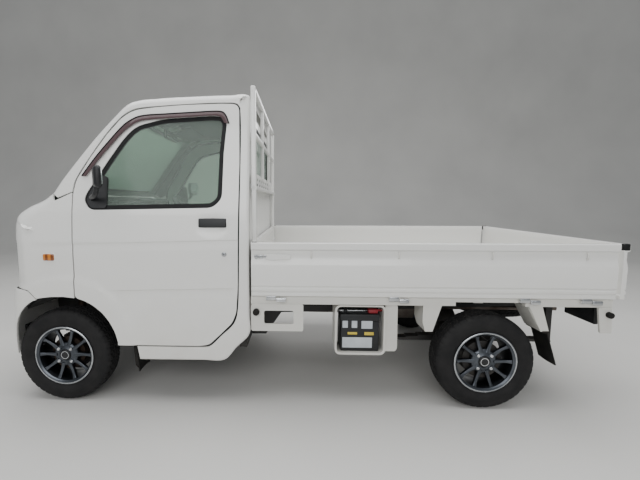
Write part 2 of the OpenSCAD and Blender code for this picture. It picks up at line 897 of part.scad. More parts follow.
module guard_frame() {
    x0 = x_bed_front - guard_depth;
    x1 = x_bed_front - 1;
    z0 = bed_floor_top - 7;
    y_post = 660;
    // front panel of the bed
    block([x0, -y_gate_in + gate_gap, z0], [x_bed_front, y_gate_in - gate_gap, gate_top]);
    both_sides()
        block([x0, y_post - guard_post, z0], [x1, y_post, guard_top]);
    block([x0, -y_post, guard_top - 28], [x1, y_post, guard_top]);
    block([x0, -y_post, 1494], [x1, y_post, 1518]);
    block([x0 - 4, -y_post, 1206], [x1, y_post, 1306]);
    both_sides()
        for (y = [200])
            block([x0, y, 1300], [x1, y + 24, guard_top - 20]);
}

module bed_brackets() {
    both_sides() {
        // gate stop plates with their rubber stops
        difference() {
            along_y(sill_outer - 26, sill_outer - 12)
                polygon([
                    [x_bed_front, sill_bottom], [x_bed_front, 432], [x_bed_front - 250, 432],
                    [x_bed_front - 288, 470], [x_bed_front - 288, sill_bottom]
                ]);
            block([x_bed_front - 234, 0, 472], [x_bed_front - 72, half_width, 547]);
        }
        rod_y(x_bed_front - 30, sill_outer - 14, half_width - 8, 541, 18);
        along_y(sill_outer - 26, sill_outer - 12)
            polygon([
                [x_rear + 120, sill_bottom], [x_rear + 102, 444], [x_rear + 41, 444], [x_rear + 50, sill_bottom]
            ]);
        rod_y(x_rear + 66, sill_outer - 14, half_width - 8, 546, 16);
        // stays ahead of and behind the rear wheel
        for (lift = [0, 1]) {
            y0 = lift == 0 ? sill_outer - 170 : sill_outer - 32;
            y1 = lift == 0 ? sill_outer - 32 : sill_outer - 20;
            top = lift == 0 ? rear_rail_top : sill_bottom;
            along_y(y0, y1)
                polygon([
                    [x_axle_rear + 245, top], [x_axle_rear + 290, 437], [x_axle_rear + 330, 437],
                    [x_axle_rear + 345, 490], [x_axle_rear + 345, top]
                ]);
            along_y(y0, y1)
                polygon([
                    [x_axle_rear - 214, top], [x_axle_rear - 283, flap_top], [x_axle_rear - 326, flap_top],
                    [x_axle_rear - 284, top]
                ]);
        }
    }
}

sill_bottom = 583;
flap_top = 445;

module mud_flaps() {
    both_sides() {
        along_y(sill_outer - 170, sill_outer - 20)
            polygon([
                [x_axle_rear - 290, flap_top], [x_axle_rear - 326, flap_top], [x_axle_rear - 383, 259],
                [x_axle_rear - 371, 259]
            ]);
        along_y(half_width - 200, half_width - 60)
            polygon([
                [x_axle_front - 385, 318], [x_axle_front - 391, 165], [x_axle_front - 429, 165],
                [x_axle_front - 412, 318]
            ]);
        block([x_axle_front - 412, half_width - 200, 300], [x_axle_front - 396, half_width - 100, rail_top]);
    }
}

module battery_tray() {
    difference() {
        block([x_bed_front - 740, sill_outer - 200, 294], [x_bed_front - 462, sill_outer - 34, rear_rail_top]);
        block([x_bed_front - 728, sill_outer - 188, 306], [x_bed_front - 474, sill_outer + 1, 601]);
    }
    block([x_bed_front - 809, sill_outer - 60, 311], [x_bed_front - 739, sill_outer - 52, rear_rail_top]);
}

module battery() {
    block([x_bed_front - 709, sill_outer - 180, 306], [x_bed_front - 496, sill_outer - 40, 530]);
}

module tail_lamps() {
    both_sides() {
        block([x_rear + 56, 430, 470], [x_rear + 92, 660, 570]);
        block([x_rear + 66, 520, 568], [x_rear + 84, 560, rear_rail_top]);
    }
}

module spare_wheel() {
    x_spare = x_axle_rear - 372;
    z_spare = rear_rail_top - 138;
    translate([x_spare, -25, z_spare])
        rotate([90, 0, 0])
            tyre();
    translate([x_spare, -25, z_spare - 40])
        cylinder(h = 118, r = 20);
    translate([x_spare, -25, z_spare - 20])
        cylinder(h = 20, r = bead_radius);
}

// ---------- every node ----------

color("#2a2c2e") chassis_frame();
color("#d9dad6") cab_floor();
color("#ecece9") cab_sides();
color("#ecece9") cab_front_panel();
color("#ecece9") cab_back_panel();
color("#ecece9") roof_panel();
color("#e6e6e2") front_bumper();
color("#cfd6da") headlamps();
color("#b9d2c8") windscreen();
color("#b9d2c8") rear_window();
color("#3a3c3e") dashboard();
color("#1b1c1d") steering_wheel();
color("#4a4c4f") seats();
color("#ecece9") door();  // door_left
color("#ecece9") mirror([0, 1, 0]) door();  // door_right
color("#b9d2c8") door_glass();  // door_glass_left
color("#b9d2c8") mirror([0, 1, 0]) door_glass();  // door_glass_right
color("#161718") mirror_piece();  // mirror_left
color("#161718") mirror([0, 1, 0]) mirror_piece();  // mirror_right
color("#ecece9") bed_floor();
color("#ecece9") guard_frame();
color("#ecece9") side_gate();  // side_gate_left
color("#ecece9") mirror([0, 1, 0]) side_gate();  // side_gate_right
color("#ecece9") tailgate();
color("#e2e2de") bed_brackets();
color("#1a1a1a") mud_flaps();
color("#1d1f21") battery();
color("#e2e2de") battery_tray();
color("#7d8082") engine_block();
color("#2c2e30") fuel_tank();
color("#6f6a64") exhaust();
color("#26282a") rear_axle();
color("#2a2c2e") suspension();
color("#3b3d40") knuckle();  // knuckle_left
color("#3b3d40") mirror([0, 1, 0]) knuckle();  // knuckle_right
color("#54575b") place_wheel(x_axle_front, 1) rim();  // wheel_front_left
color("#54575b") place_wheel(x_axle_front, -1) rim();  // wheel_front_right
color("#54575b") place_wheel(x_axle_rear, 1) rim();  // wheel_rear_left
color("#54575b") place_wheel(x_axle_rear, -1) rim();  // wheel_rear_right
color("#1b1b1c") place_wheel(x_axle_front, 1) tyre();  // tyre_front_left
color("#1b1b1c") place_wheel(x_axle_front, -1) tyre();  // tyre_front_right
color("#1b1b1c") place_wheel(x_axle_rear, 1) tyre();  // tyre_rear_left
color("#1b1b1c") place_wheel(x_axle_rear, -1) tyre();  // tyre_rear_right
color("#1b1b1c") spare_wheel();
color("#9c2222") tail_lamps();
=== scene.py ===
# %% [markdown]
# # A small cab-over pickup truck
# This lesson dresses the engineering frame of a small truck: painted panels, glass, rubber,
# alloy wheels, a padded bench and the hardware of a drop-side bed. The frame gives every
# place and size; this file only adds shape and finish. Metres throughout, +X forwards,
# +Y to the vehicle's left, +Z up.

import math

import bmesh
import bpy
from mathutils import Matrix, Vector


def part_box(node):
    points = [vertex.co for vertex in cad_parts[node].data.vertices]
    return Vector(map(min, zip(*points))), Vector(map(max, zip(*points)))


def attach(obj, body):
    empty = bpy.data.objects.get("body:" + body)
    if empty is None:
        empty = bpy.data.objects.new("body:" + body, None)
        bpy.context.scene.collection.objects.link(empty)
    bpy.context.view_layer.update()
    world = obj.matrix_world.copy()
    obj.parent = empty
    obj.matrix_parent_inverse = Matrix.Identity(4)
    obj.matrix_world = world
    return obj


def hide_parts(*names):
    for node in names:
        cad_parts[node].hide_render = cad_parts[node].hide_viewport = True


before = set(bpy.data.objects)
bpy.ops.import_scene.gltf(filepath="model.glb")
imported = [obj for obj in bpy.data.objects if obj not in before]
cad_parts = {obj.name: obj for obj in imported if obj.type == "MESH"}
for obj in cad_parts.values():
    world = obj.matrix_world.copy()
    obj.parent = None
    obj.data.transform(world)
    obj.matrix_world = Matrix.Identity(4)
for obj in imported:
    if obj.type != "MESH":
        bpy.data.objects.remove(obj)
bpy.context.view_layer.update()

# %% [markdown]
# ## Landmarks
# Every place comes from the frame's own nodes, so a changed frame moves the looks with it.
# The front axle and the body side are the two references that the outlines below count from.

# %% Landmarks
MM = 0.001
low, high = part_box("tyre_front_left")
AXLE_F = (low.x + high.x) / 2
TYRE_R = (high.z - low.z) / 2
TRACK_Y = (low.y + high.y) / 2
low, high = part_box("tyre_rear_left")
AXLE_R = (low.x + high.x) / 2
SIDE_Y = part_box("cab_sides")[1].y
CAB_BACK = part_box("cab_back_panel")[0].x
NOSE_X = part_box("front_bumper")[1].x
TAIL_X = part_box("tailgate")[0].x
BED_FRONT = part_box("bed_floor")[1].x
BED_FLOOR_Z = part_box("bed_floor")[1].z
ROOF_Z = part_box("roof_panel")[1].z
print(f"axles {AXLE_F:.3f} / {AXLE_R:.3f}, body side {SIDE_Y:.3f}, roof {ROOF_Z:.3f}")


# %% [markdown]
# ## Colours and node helper
# Paint charts and screens give colours as sRGB hex, while shaders want linear light, so one
# function turns one into the other. One more function adds a shader node with its settings
# and its links, which keeps each material readable as a recipe.

# %% Colour and node helper
def linear(hexa):
    """An sRGB hex colour as the linear RGBA that shaders use."""
    channels = []
    for i in (1, 3, 5):
        c = int(hexa[i : i + 2], 16) / 255
        channels.append(c / 12.92 if c <= 0.04045 else ((c + 0.055) / 1.055) ** 2.4)
    return (*channels, 1.0)


def add(tree, kind, settings=None, **inputs):
    """A node of that kind; an input is a value, or an output socket to link from."""
    node = tree.nodes.new(kind)
    for key, value in (settings or {}).items():
        setattr(node, key, value)
    for key, value in inputs.items():
        name = key.replace("_", " ")
        socket = next((s for s in node.inputs if s.name == name and s.enabled), None)
        if socket is None:
            socket = node.inputs[int(key[1:])]
        if isinstance(value, bpy.types.NodeSocket):
            tree.links.new(value, socket)
        else:
            socket.default_value = value
    return node


def ramp(tree, fac, stops):
    """A colour ramp over fac: stops are (position, hex)."""
    node = add(tree, "ShaderNodeValToRGB", Fac=fac)
    while len(node.color_ramp.elements) < len(stops):
        node.color_ramp.elements.new(0.5)
    for element, (place, colour) in zip(node.color_ramp.elements, stops):
        element.position = place
        element.color = linear(colour)
    return node.outputs["Color"]


def new_finish(name):
    """An empty material and the object-space coordinate."""
    finish = bpy.data.materials.new(name)
    finish.use_nodes = True
    tree = finish.node_tree
    tree.nodes.clear()
    place = add(tree, "ShaderNodeTexCoord").outputs["Object"]
    return finish, tree, place


def finish_out(tree, shader):
    add(tree, "ShaderNodeOutputMaterial", Surface=shader.outputs[0])


# %% [markdown]
# ## Painted steel
# The cab and the bed are pressed steel under white enamel. New enamel is a coloured
# layer under clear gloss: a broad soft reflection with a sharp one over it. A working truck
# is never evenly clean: dust gathers low down and fine roughness breaks the reflection, so
# the colour is warmed a little towards the ground and noise moves the roughness. The coat is
# the shader's own socket, because an export keeps only constants there.

# %% Painted steel
def enamel(name, colour, dust, coat=0.55, rough=0.3):
    finish, tree, place = new_finish(name)
    height = add(tree, "ShaderNodeSeparateXYZ", Vector=place).outputs["Z"]
    grime = add(tree, "ShaderNodeTexNoise", Vector=place, Scale=5.0, Detail=6.0,
        Roughness=0.6).outputs["Fac"]
    # road film: strongest at the sill, gone a metre up
    low_down = add(tree, "ShaderNodeMapRange", Value=height, From_Min=0.15, From_Max=0.95, To_Min=1.0,
        To_Max=0.0).outputs[0]
    film = add(tree, "ShaderNodeMath", {"operation": "MULTIPLY"}, i0=low_down, i1=grime).outputs[0]
    film = add(tree, "ShaderNodeMath", {"operation": "MULTIPLY"}, i0=film, i1=0.55).outputs[0]
    mix = add(tree, "ShaderNodeMix", {"data_type": "RGBA"}, Factor=film)
    mix.inputs[6].default_value = linear(colour)
    mix.inputs[7].default_value = linear(dust)
    fine = add(tree, "ShaderNodeTexNoise", Vector=place, Scale=60.0, Detail=3.0).outputs["Fac"]
    roughness = add(tree, "ShaderNodeMapRange", Value=fine, To_Min=rough - 0.05, To_Max=rough
        + 0.08).outputs[0]
    # orange peel of sprayed enamel, a few millimetres across
    peel = add(tree, "ShaderNodeTexNoise", Vector=place, Scale=260.0, Detail=1.0).outputs["Fac"]
    bump = add(tree, "ShaderNodeBump", Height=peel, Strength=0.02, Distance=0.001).outputs[0]
    shader = add(tree, "ShaderNodeBsdfPrincipled", Base_Color=mix.outputs[2], Roughness=roughness,
        Metallic=0.0, Coat_Weight=coat, Coat_Roughness=0.06, Normal=bump)
    finish_out(tree, shader)
    return finish


WHITE_ENAMEL = enamel("white_enamel", "#E9E9E6", "#B9B3A6")
BRACKET_ENAMEL = enamel("white_enamel_thin", "#DEDDD7", "#9C968A", coat=0.2, rough=0.42)
BED_ENAMEL = enamel("white_enamel_bed", "#DDDCD6", "#A59E92", coat=0.1, rough=0.45)
CHASSIS_BLACK = enamel("black_chassis_paint", "#17181A", "#4A443C", coat=0.0, rough=0.55)
print("enamels:", WHITE_ENAMEL.name, BRACKET_ENAMEL.name, CHASSIS_BLACK.name)


# %% [markdown]
# ## Moulded plastics and rubber
# Mirror shells, handles and seals are moulded black polypropylene or rubber. The mould leaves
# a fine grain about half a millimetre across; it is drawn a little coarser here so that it
# shows. Rubber has a lower specular level and a greyer bloom than plastic.

# %% Plastics and rubber
def moulded(name, colour, worn, rough, grain_mm, depth, specular=0.5):
    finish, tree, place = new_finish(name)
    cloud = add(tree, "ShaderNodeTexNoise", Vector=place, Scale=14.0, Detail=4.0).outputs["Fac"]
    tint = ramp(tree, cloud, [(0.35, colour), (0.75, worn)])
    grain = add(tree, "ShaderNodeTexVoronoi", Vector=place, Scale=1000.0 / grain_mm).outputs["Distance"]
    bump = add(tree, "ShaderNodeBump", Height=grain, Strength=depth, Distance=0.0006).outputs[0]
    spread = add(tree, "ShaderNodeMapRange", Value=cloud, To_Min=rough - 0.06, To_Max=rough
        + 0.08).outputs[0]
    shader = add(tree, "ShaderNodeBsdfPrincipled", Base_Color=tint, Roughness=spread,
        Specular_IOR_Level=specular, Normal=bump)
    finish_out(tree, shader)
    return finish


BLACK_PLASTIC = moulded("grained_black_polypropylene", "#131416", "#1E2023", 0.42, 1.2, 0.25)
DASH_PLASTIC = moulded("grained_dark_grey_polypropylene", "#26282A", "#303336", 0.58, 1.8, 0.5)
TRIM_PLASTIC = moulded("grey_trim_board", "#4B4E4E", "#585B5A", 0.65, 2.2, 0.4)
SEAL_RUBBER = moulded("black_seal_rubber", "#0E0F10", "#191A1B", 0.6, 2.0, 0.2, 0.3)
FLAP_RUBBER = moulded("mud_flap_rubber", "#151515", "#2C2A27", 0.75, 3.0, 0.4, 0.25)
CARBON_TYRE = moulded("tyre_rubber", "#161617", "#252424", 0.72, 1.6, 0.35, 0.3)
HEADLINER = moulded("headliner_board", "#3E4140", "#484B49", 0.85, 3.0, 0.5, 0.2)
print("plastics and rubbers ready")


# %% [markdown]
# ## Metals
# Wheels are cast aluminium under a dark grey lacquer, lug nuts and hinges are bright plated
# steel, and the exhaust is dull steel browned by heat. A metal keeps the default IOR; its
# colour is its reflection, so the hex value is the look of the metal itself.

# %% Metals
def metal(name, colour, shade, rough, speck_mm=3.0, depth=0.05):
    finish, tree, place = new_finish(name)
    speck = add(tree, "ShaderNodeTexNoise", Vector=place, Scale=1000.0 / speck_mm,
        Detail=4.0).outputs["Fac"]
    broad = add(tree, "ShaderNodeTexNoise", Vector=place, Scale=9.0, Detail=5.0).outputs["Fac"]
    tint = ramp(tree, broad, [(0.3, shade), (0.62, colour)])
    bump = add(tree, "ShaderNodeBump", Height=speck, Strength=depth, Distance=0.0005).outputs[0]
    spread = add(tree, "ShaderNodeMapRange", Value=broad, To_Min=rough + 0.08, To_Max=rough
        - 0.04).outputs[0]
    shader = add(tree, "ShaderNodeBsdfPrincipled", Base_Color=tint, Roughness=spread, Metallic=1.0,
        Normal=bump)
    finish_out(tree, shader)
    return finish


GUNMETAL_ALLOY = metal("lacquered_dark_alloy", "#5C6066", "#45494E", 0.3)
MACHINED_LIP = metal("machined_alloy_edge", "#B9BCBF", "#93979B", 0.22)
BRIGHT_PLATE = metal("bright_zinc_plate", "#D6D8DA", "#AEB1B4", 0.2)
DULL_STEEL = metal("heat_browned_steel", "#77706A", "#4E4038", 0.5, 5.0, 0.2)
CAST_IRON = metal("cast_iron_block", "#6A6C6E", "#4B4D4F", 0.6, 2.0, 0.4)
MIRROR_SILVER = metal("mirror_silvering", "#E8ECEC", "#E2E6E6", 0.03, 3.0, 0.0)
DRUM_IRON = metal("rusted_drum_iron", "#4E4640", "#3B2E26", 0.62, 3.0, 0.4)
print("metals ready")


# %% [markdown]
# ## Glass and lenses
# Cab glass is float glass with a faint green tint that absorbs a little light. A thin pane is
# mostly see-through with a clear reflection, so a low-roughness shader is mixed with a tinted
# transparent one; that stays clean at low sample counts where full refraction would turn
# grainy. The rain visor is smoked acrylic, and the repeaters are amber moulded lenses.

# %% Glass and lenses
def pane(name, tint, see_through, rough=0.02):
    finish, tree, place = new_finish(name)
    clear = add(tree, "ShaderNodeBsdfTransparent", Color=linear(tint))
    film = add(tree, "ShaderNodeTexNoise", Vector=place, Scale=7.0, Detail=4.0).outputs["Fac"]
    haze = add(tree, "ShaderNodeMapRange", Value=film, To_Min=rough, To_Max=rough + 0.05).outputs[0]
    gloss = add(tree, "ShaderNodeBsdfPrincipled", Base_Color=linear(tint), Roughness=haze,
        Specular_IOR_Level=0.6)
    edge = add(tree, "ShaderNodeFresnel", IOR=1.45).outputs[0]
    share = add(tree, "ShaderNodeMapRange", Value=edge, To_Min=1.0 - see_through, To_Max=1.0).outputs[0]
    both = add(tree, "ShaderNodeMixShader", Fac=share)
    tree.links.new(clear.outputs[0], both.inputs[1])
    tree.links.new(gloss.outputs[0], both.inputs[2])
    finish_out(tree, both)
    return finish


def lens(name, colour, deep, rib_mm):
    """A moulded lens: a coloured body with fine vertical ribs behind a clear face."""
    finish, tree, place = new_finish(name)
    ribs = add(tree, "ShaderNodeTexWave", {"wave_type": "BANDS", "bands_direction": "X"}, Vector=place,
        Scale=1000.0 / rib_mm / 20.0, Distortion=0.0).outputs["Fac"]
    tint = ramp(tree, ribs, [(0.2, deep), (0.7, colour)])
    bump = add(tree, "ShaderNodeBump", Height=ribs, Strength=0.3, Distance=0.001).outputs[0]
    shader = add(tree, "ShaderNodeBsdfPrincipled", Base_Color=tint, Roughness=0.12, Coat_Weight=1.0,
        Coat_Roughness=0.02, Normal=bump)
    finish_out(tree, shader)
    return finish


CAB_GLASS = pane("green_float_glass", "#E6F1EA", 0.93)
SMOKE_ACRYLIC = pane("smoked_acrylic_visor", "#7D686B", 0.6)
LAMP_COVER = pane("clear_lamp_cover", "#E6ECEE", 0.82)
AMBER_LENS = lens("amber_lens", "#C97A22", "#7A3E0E", 5.0)
RED_LENS = lens("red_lens", "#A81C1C", "#5A0A0A", 5.0)
CLEAR_LENS = lens("clear_lens", "#D9DDDD", "#A4ABAD", 5.0)
print("glass and lenses ready")


# %% [markdown]
# ## Woven seat cloth
# The bench is covered in a hard-wearing dark grey weave. Threads lie about a millimetre
# apart; two wave textures at right angles give the over and under of a plain weave, drawn at
# two millimetres so that it can be seen. Sheen gives the soft edge light of cloth.

# %% Woven seat cloth
def woven(name, colour, dark, thread_mm):
    finish, tree, place = new_finish(name)
    scale = 1000.0 / thread_mm / 20.0
    across = add(tree, "ShaderNodeTexWave", {"bands_direction": "Y"}, Vector=place,
        Scale=scale).outputs["Fac"]
    along = add(tree, "ShaderNodeTexWave", {"bands_direction": "DIAGONAL"}, Vector=place,
        Scale=scale).outputs["Fac"]
    weave = add(tree, "ShaderNodeMath", {"operation": "MULTIPLY"}, i0=across, i1=along).outputs[0]
    fuzz = add(tree, "ShaderNodeTexNoise", Vector=place, Scale=30.0, Detail=5.0).outputs["Fac"]
    both = add(tree, "ShaderNodeMath", {"operation": "ADD"}, i0=weave, i1=fuzz).outputs[0]
    tint = ramp(tree, both, [(0.35, dark), (1.0, colour)])
    bump = add(tree, "ShaderNodeBump", Height=weave, Strength=0.5, Distance=0.0012).outputs[0]
    shader = add(tree, "ShaderNodeBsdfPrincipled", Base_Color=tint, Roughness=0.9, Sheen_Weight=0.35,
        Sheen_Roughness=0.4, Normal=bump)
    finish_out(tree, shader)
    return finish


SEAT_CLOTH = woven("woven_grey_seat_cloth", "#54575A", "#303235", 2.0)
print("cloth ready")

# %% [markdown]
# ## Turning a bmesh into a piece
# Every piece ends the same way: its mesh is cleaned, shaded smooth, given a finish, and told
# which body of the frame it rides on; the engineering nodes it stands for are hidden. A small
# bevel modifier rounds the folded edges, because no pressed or moulded edge is truly sharp and
# the rounding is what catches the light.

# %% Finishing helper
def round_edges(obj, width, angle):
    """A live bevel on every edge sharper than the angle."""
    rounding = obj.modifiers.new("rounded_edges", "BEVEL")
    rounding.width, rounding.angle_limit = width, angle
    rounding.segments = 2
    rounding.limit_method = "ANGLE"
    rounding.harden_normals = True


def piece(bm, name, finish, body="body", nodes=(), bevel=0, smooth_angle=40, flip=None):
    """Finish a bmesh as an object that rides on a body; flip is an inside point, to face away from."""
    bmesh.ops.remove_doubles(bm, verts=bm.verts[:], dist=1e-5)
    if flip is not None:
        facing = sum(((f.calc_center_median() - Vector(flip)).dot(f.normal)) * f.calc_area()
            for f in bm.faces)
        if facing < 0:
            bmesh.ops.reverse_faces(bm, faces=bm.faces[:])
    mesh = bpy.data.meshes.new(name)
    bm.to_mesh(mesh)
    bm.free()
    mesh.materials.append(finish)
    mesh.shade_smooth()
    mesh.set_sharp_from_angle(angle=math.radians(smooth_angle))
    obj = bpy.data.objects.new(name, mesh)
    bpy.context.scene.collection.objects.link(obj)
    if bevel:
        round_edges(obj, bevel, math.radians(50))
    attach(obj, body)
    if nodes:
        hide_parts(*nodes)
    return obj


def apply_modifiers(obj):
    """Bake the live modifiers into the mesh."""
    depsgraph = bpy.context.evaluated_depsgraph_get()
    baked = bpy.data.meshes.new_from_object(obj.evaluated_get(depsgraph), depsgraph=depsgraph)
    obj.modifiers.clear()
    obj.data = baked


def carve(obj, cutters, operation="DIFFERENCE"):
    """Cut closed shapes out of a piece, or keep only what they share."""
    for cutter in cutters:
        mesh = bpy.data.meshes.new("cutter")
        cutter.to_mesh(mesh)
        cutter.free()
        tool = bpy.data.objects.new("cutter", mesh)
        bpy.context.scene.collection.objects.link(tool)
        rounding = obj.modifiers.get("rounded_edges")
        settings = (rounding.width, rounding.angle_limit) if rounding else None
        if rounding:
            obj.modifiers.remove(rounding)
        cut = obj.modifiers.new("cut", "BOOLEAN")
        cut.object = tool
        cut.operation = operation
        cut.solver = "EXACT"
        apply_modifiers(obj)
        bpy.data.objects.remove(tool)
        bpy.data.meshes.remove(mesh)
        if settings:
            round_edges(obj, *settings)
    obj.data.shade_smooth()
    obj.data.set_sharp_from_angle(angle=math.radians(40))


def mirrored(obj, name, body, nodes=()):
    """The same piece on the other side of the vehicle."""
    bm = bmesh.new()
    bm.from_mesh(obj.data)
    bmesh.ops.scale(bm, vec=(1, -1, 1), verts=bm.verts[:])
    bmesh.ops.reverse_faces(bm, faces=bm.faces[:])
    mesh = bpy.data.meshes.new(name)
    bm.to_mesh(mesh)
    bm.free()
    for finish in obj.data.materials:
        if finish.name not in [m.name for m in mesh.materials if m]:
            mesh.materials.append(finish)
    twin = bpy.data.objects.new(name, mesh)
    bpy.context.scene.collection.objects.link(twin)
    for old in obj.modifiers:
        new = twin.modifiers.new(old.name, old.type)
        for key in ("width", "segments", "limit_method", "angle_limit", "harden_normals", "levels",
                    "render_levels", "thickness", "offset"):
            if hasattr(old, key):
                setattr(new, key, getattr(old, key))
    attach(twin, body)
    if nodes:
        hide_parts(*nodes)
    return twin


# %% [markdown]
# ## Simple makers
# Much of a vehicle is rolled sections, bent tubes and folded brackets. A section is an outline
# pulled along one axis; a tube is a curve with a round bevel turned into a mesh; a block is a
# cube with rounded edges. Each is one small function on top of the bmesh operators.

# %% Section, block and tube
def outline_face(bm, points):
    return bm.faces.new([bm.verts.new(p) for p in points])


def along(axis, points, start, end):
    """A closed outline pulled along X, Y or Z; the points are the other two axes in order."""
    bm = bmesh.new()
    put = {"x": lambda p: (start, p[0], p[1]), "y": lambda p: (p[0], start, p[1]), "z": lambda p: (p[0],
        p[1], start)}
    face = outline_face(bm, [put[axis](p) for p in points])
    step = {"x": Vector((1, 0, 0)), "y": Vector((0, 1, 0)), "z": Vector((0, 0, 1))}[axis] * (end - start)
    pulled = bmesh.ops.extrude_face_region(bm, geom=[face])
    bmesh.ops.translate(bm, vec=step, verts=[g for g in pulled["geom"] if isinstance(g,
        bmesh.types.BMVert)])
    bmesh.ops.recalc_face_normals(bm, faces=bm.faces[:])
    return bm


def block(lowest, highest, radius=0.0, segments=3):
    """A block between two corners, its edges rounded."""
    bm = bmesh.new()
    bmesh.ops.create_cube(bm, size=1.0)
    size = [max(b - a, 1e-5) for a, b in zip(lowest, highest)]
    middle = [(a + b) / 2 for a, b in zip(lowest, highest)]
    bmesh.ops.scale(bm, vec=size, verts=bm.verts[:])
    bmesh.ops.translate(bm, vec=middle, verts=bm.verts[:])
    if radius:
        bmesh.ops.bevel(bm, geom=bm.edges[:], offset=min(radius, min(size) * 0.49), affect="EDGES",
            segments=segments, profile=0.5, material=-1)
    return bm


def drum(middle, axis, radius, length, sides=32, rim=0.0):
    """A round bar or disc about X, Y or Z, with an optional rounded rim."""
    bm = bmesh.new()
    bmesh.ops.create_cone(bm, cap_ends=True, segments=sides, radius1=radius, radius2=radius, depth=length)
    if rim:
        ends = [e for e in bm.edges if abs(e.verts[0].co.z - e.verts[1].co.z) < 1e-6]
        bmesh.ops.bevel(bm, geom=ends, offset=rim, affect="EDGES", segments=3, profile=0.5, material=-1)
    turn = {"x": Matrix.Rotation(math.pi / 2, 4, "Y"), "y": Matrix.Rotation(math.pi / 2, 4, "X"),
        "z": Matrix.Identity(4)}
    bmesh.ops.transform(bm, matrix=Matrix.Translation(middle) @ turn[axis], verts=bm.verts[:])
    return bm


def tube(points, radius, sides=12, smooth=True, closed=False):
    """A round tube along points, as a bmesh."""
    curve = bpy.data.curves.new("path", "CURVE")
    curve.dimensions = "3D"
    curve.bevel_depth = radius
    curve.bevel_resolution = max(1, sides // 4)
    curve.use_fill_caps = True
    line = curve.splines.new("NURBS" if smooth else "POLY")
    line.points.add(len(points) - 1)
    for spot, point in zip(line.points, points):
        spot.co = (*point, 1)
    if smooth:
        line.order_u = 3
        line.use_endpoint_u = not closed
        curve.resolution_u = 4
    line.use_cyclic_u = closed
    holder = bpy.data.objects.new("path", curve)
    bpy.context.scene.collection.objects.link(holder)
    mesh = bpy.data.meshes.new_from_object(holder.evaluated_get(bpy.context.evaluated_depsgraph_get()))
    bm = bmesh.new()
    bm.from_mesh(mesh)
    bpy.data.objects.remove(holder)
    bpy.data.curves.remove(curve)
    bpy.data.meshes.remove(mesh)
    bmesh.ops.remove_doubles(bm, verts=bm.verts[:], dist=1e-6)
    bmesh.ops.recalc_face_normals(bm, faces=bm.faces[:])
    return bm


def join(*parts):
    """Several bmeshes as one."""
    whole = parts[0]
    for part in parts[1:]:
        mesh = bpy.data.meshes.new("part")
        part.to_mesh(mesh)
        part.free()
        whole.from_mesh(mesh)
        bpy.data.meshes.remove(mesh)
    return whole


def twin(bm):
    """The bmesh with its mirror image across the middle of the vehicle."""
    copy = bm.copy()
    bmesh.ops.scale(copy, vec=(1, -1, 1), verts=copy.verts[:])
    bmesh.ops.reverse_faces(copy, faces=copy.faces[:])
    return join(bm, copy)


# %% [markdown]
# ## The side of the cab as a surface
# All panels of a cab side are pressed to one shared surface, which is why they line up across
# their gaps. Here that surface is a function: given a place along the vehicle and a height, it
# returns the half width. It leans in above the waist, steps at two creases, and swells over the
# wheel arch. Outlines are in millimetres from the front axle, as a body drawing gives them.

# %% Side surface
ARCH = (-34.0, 335.0)
BASE_Y = SIDE_Y / MM - 8.0


def ease(edge0, edge1, value):
    t = min(max((value - edge0) / (edge1 - edge0), 0.0), 1.0)
    return t * t * (3 - 2 * t)


def ledge(t, depth, band):
    """A pressed crease: a thin undercut at t = 0 that flows back out over the band below it."""
    if t > 0:
        return 0.0
    return -depth * min(-t / 5.0, 1.0) * (1 - ease(0, band, -t - 5.0))


def side_mm(a, z):
    """Half width of the cab in mm, a mm ahead of the front axle and z mm up."""
    y = BASE_Y
    # waist crease, then a gentle lean that grows towards the roof
    waist = 908 - (a - 134) * 0.0263
    y += ledge(z - waist, 4.0, 55) * ease(150, 110, a)
    y -= 0.086 * max(z - 925, 0.0) + 0.084 * max(z - 1085, 0.0)
    # lower crease of the door
    low_line = 655 - (a + 306) * 0.0272
    y += ledge(z - low_line, 5.0, 60) * ease(-290, -330, a) * ease(-1000, -950, a)
    # flare round the wheel arch, not below the sill
    reach = math.hypot(a - ARCH[0], z - ARCH[1])
    y += 8.0 * ease(404, 376, reach)
    # hand scoop of the door handle
    scoop = math.hypot((a + 868) / 92, (z - 1004) / 50)
    y -= 11.0 * ease(1.0, 0.45, scoop)
    return y


def at_side(a, z, inset=0.0):
    """A point of the left side in metres."""
    return Vector((AXLE_F + a * MM, (side_mm(a, z) - inset) * MM, z * MM))


print(f"half width at the waist {side_mm(-500, 880):.0f} mm, at the roof {side_mm(-600, 1660):.0f} mm")

# %% [markdown]
# ## Sheet panels
# A door skin starts as its flat outline with the window cut out. It is filled, sliced into
# small cells by bisecting planes, and then every vertex is laid on the side surface. Slicing
# first matters: a big flat face would stay flat however the surface under it curved.

# %% Sheet helper
def rounded(points, radius, steps=5):
    """A closed outline with its corners rounded; radius in the outline's own unit."""
    result = []
    count = len(points)
    for i in range(count):
        before, here, after = (Vector(points[j % count]) for j in (i - 1, i, i + 1))
        back, ahead = before - here, after - here
        cut = min(radius, back.length * 0.45, ahead.length * 0.45)
        turn = back.angle(ahead)
        if turn > math.radians(172) or cut < 1e-6:
            result.append(tuple(here))
            continue
        start, end = here + back.normalized() * cut, here + ahead.normalized() * cut
        for k in range(steps + 1):
            t = k / steps
            result.append(tuple(start * (1 - t) ** 2 + here * 2 * t * (1 - t) + end * t * t))
    return result


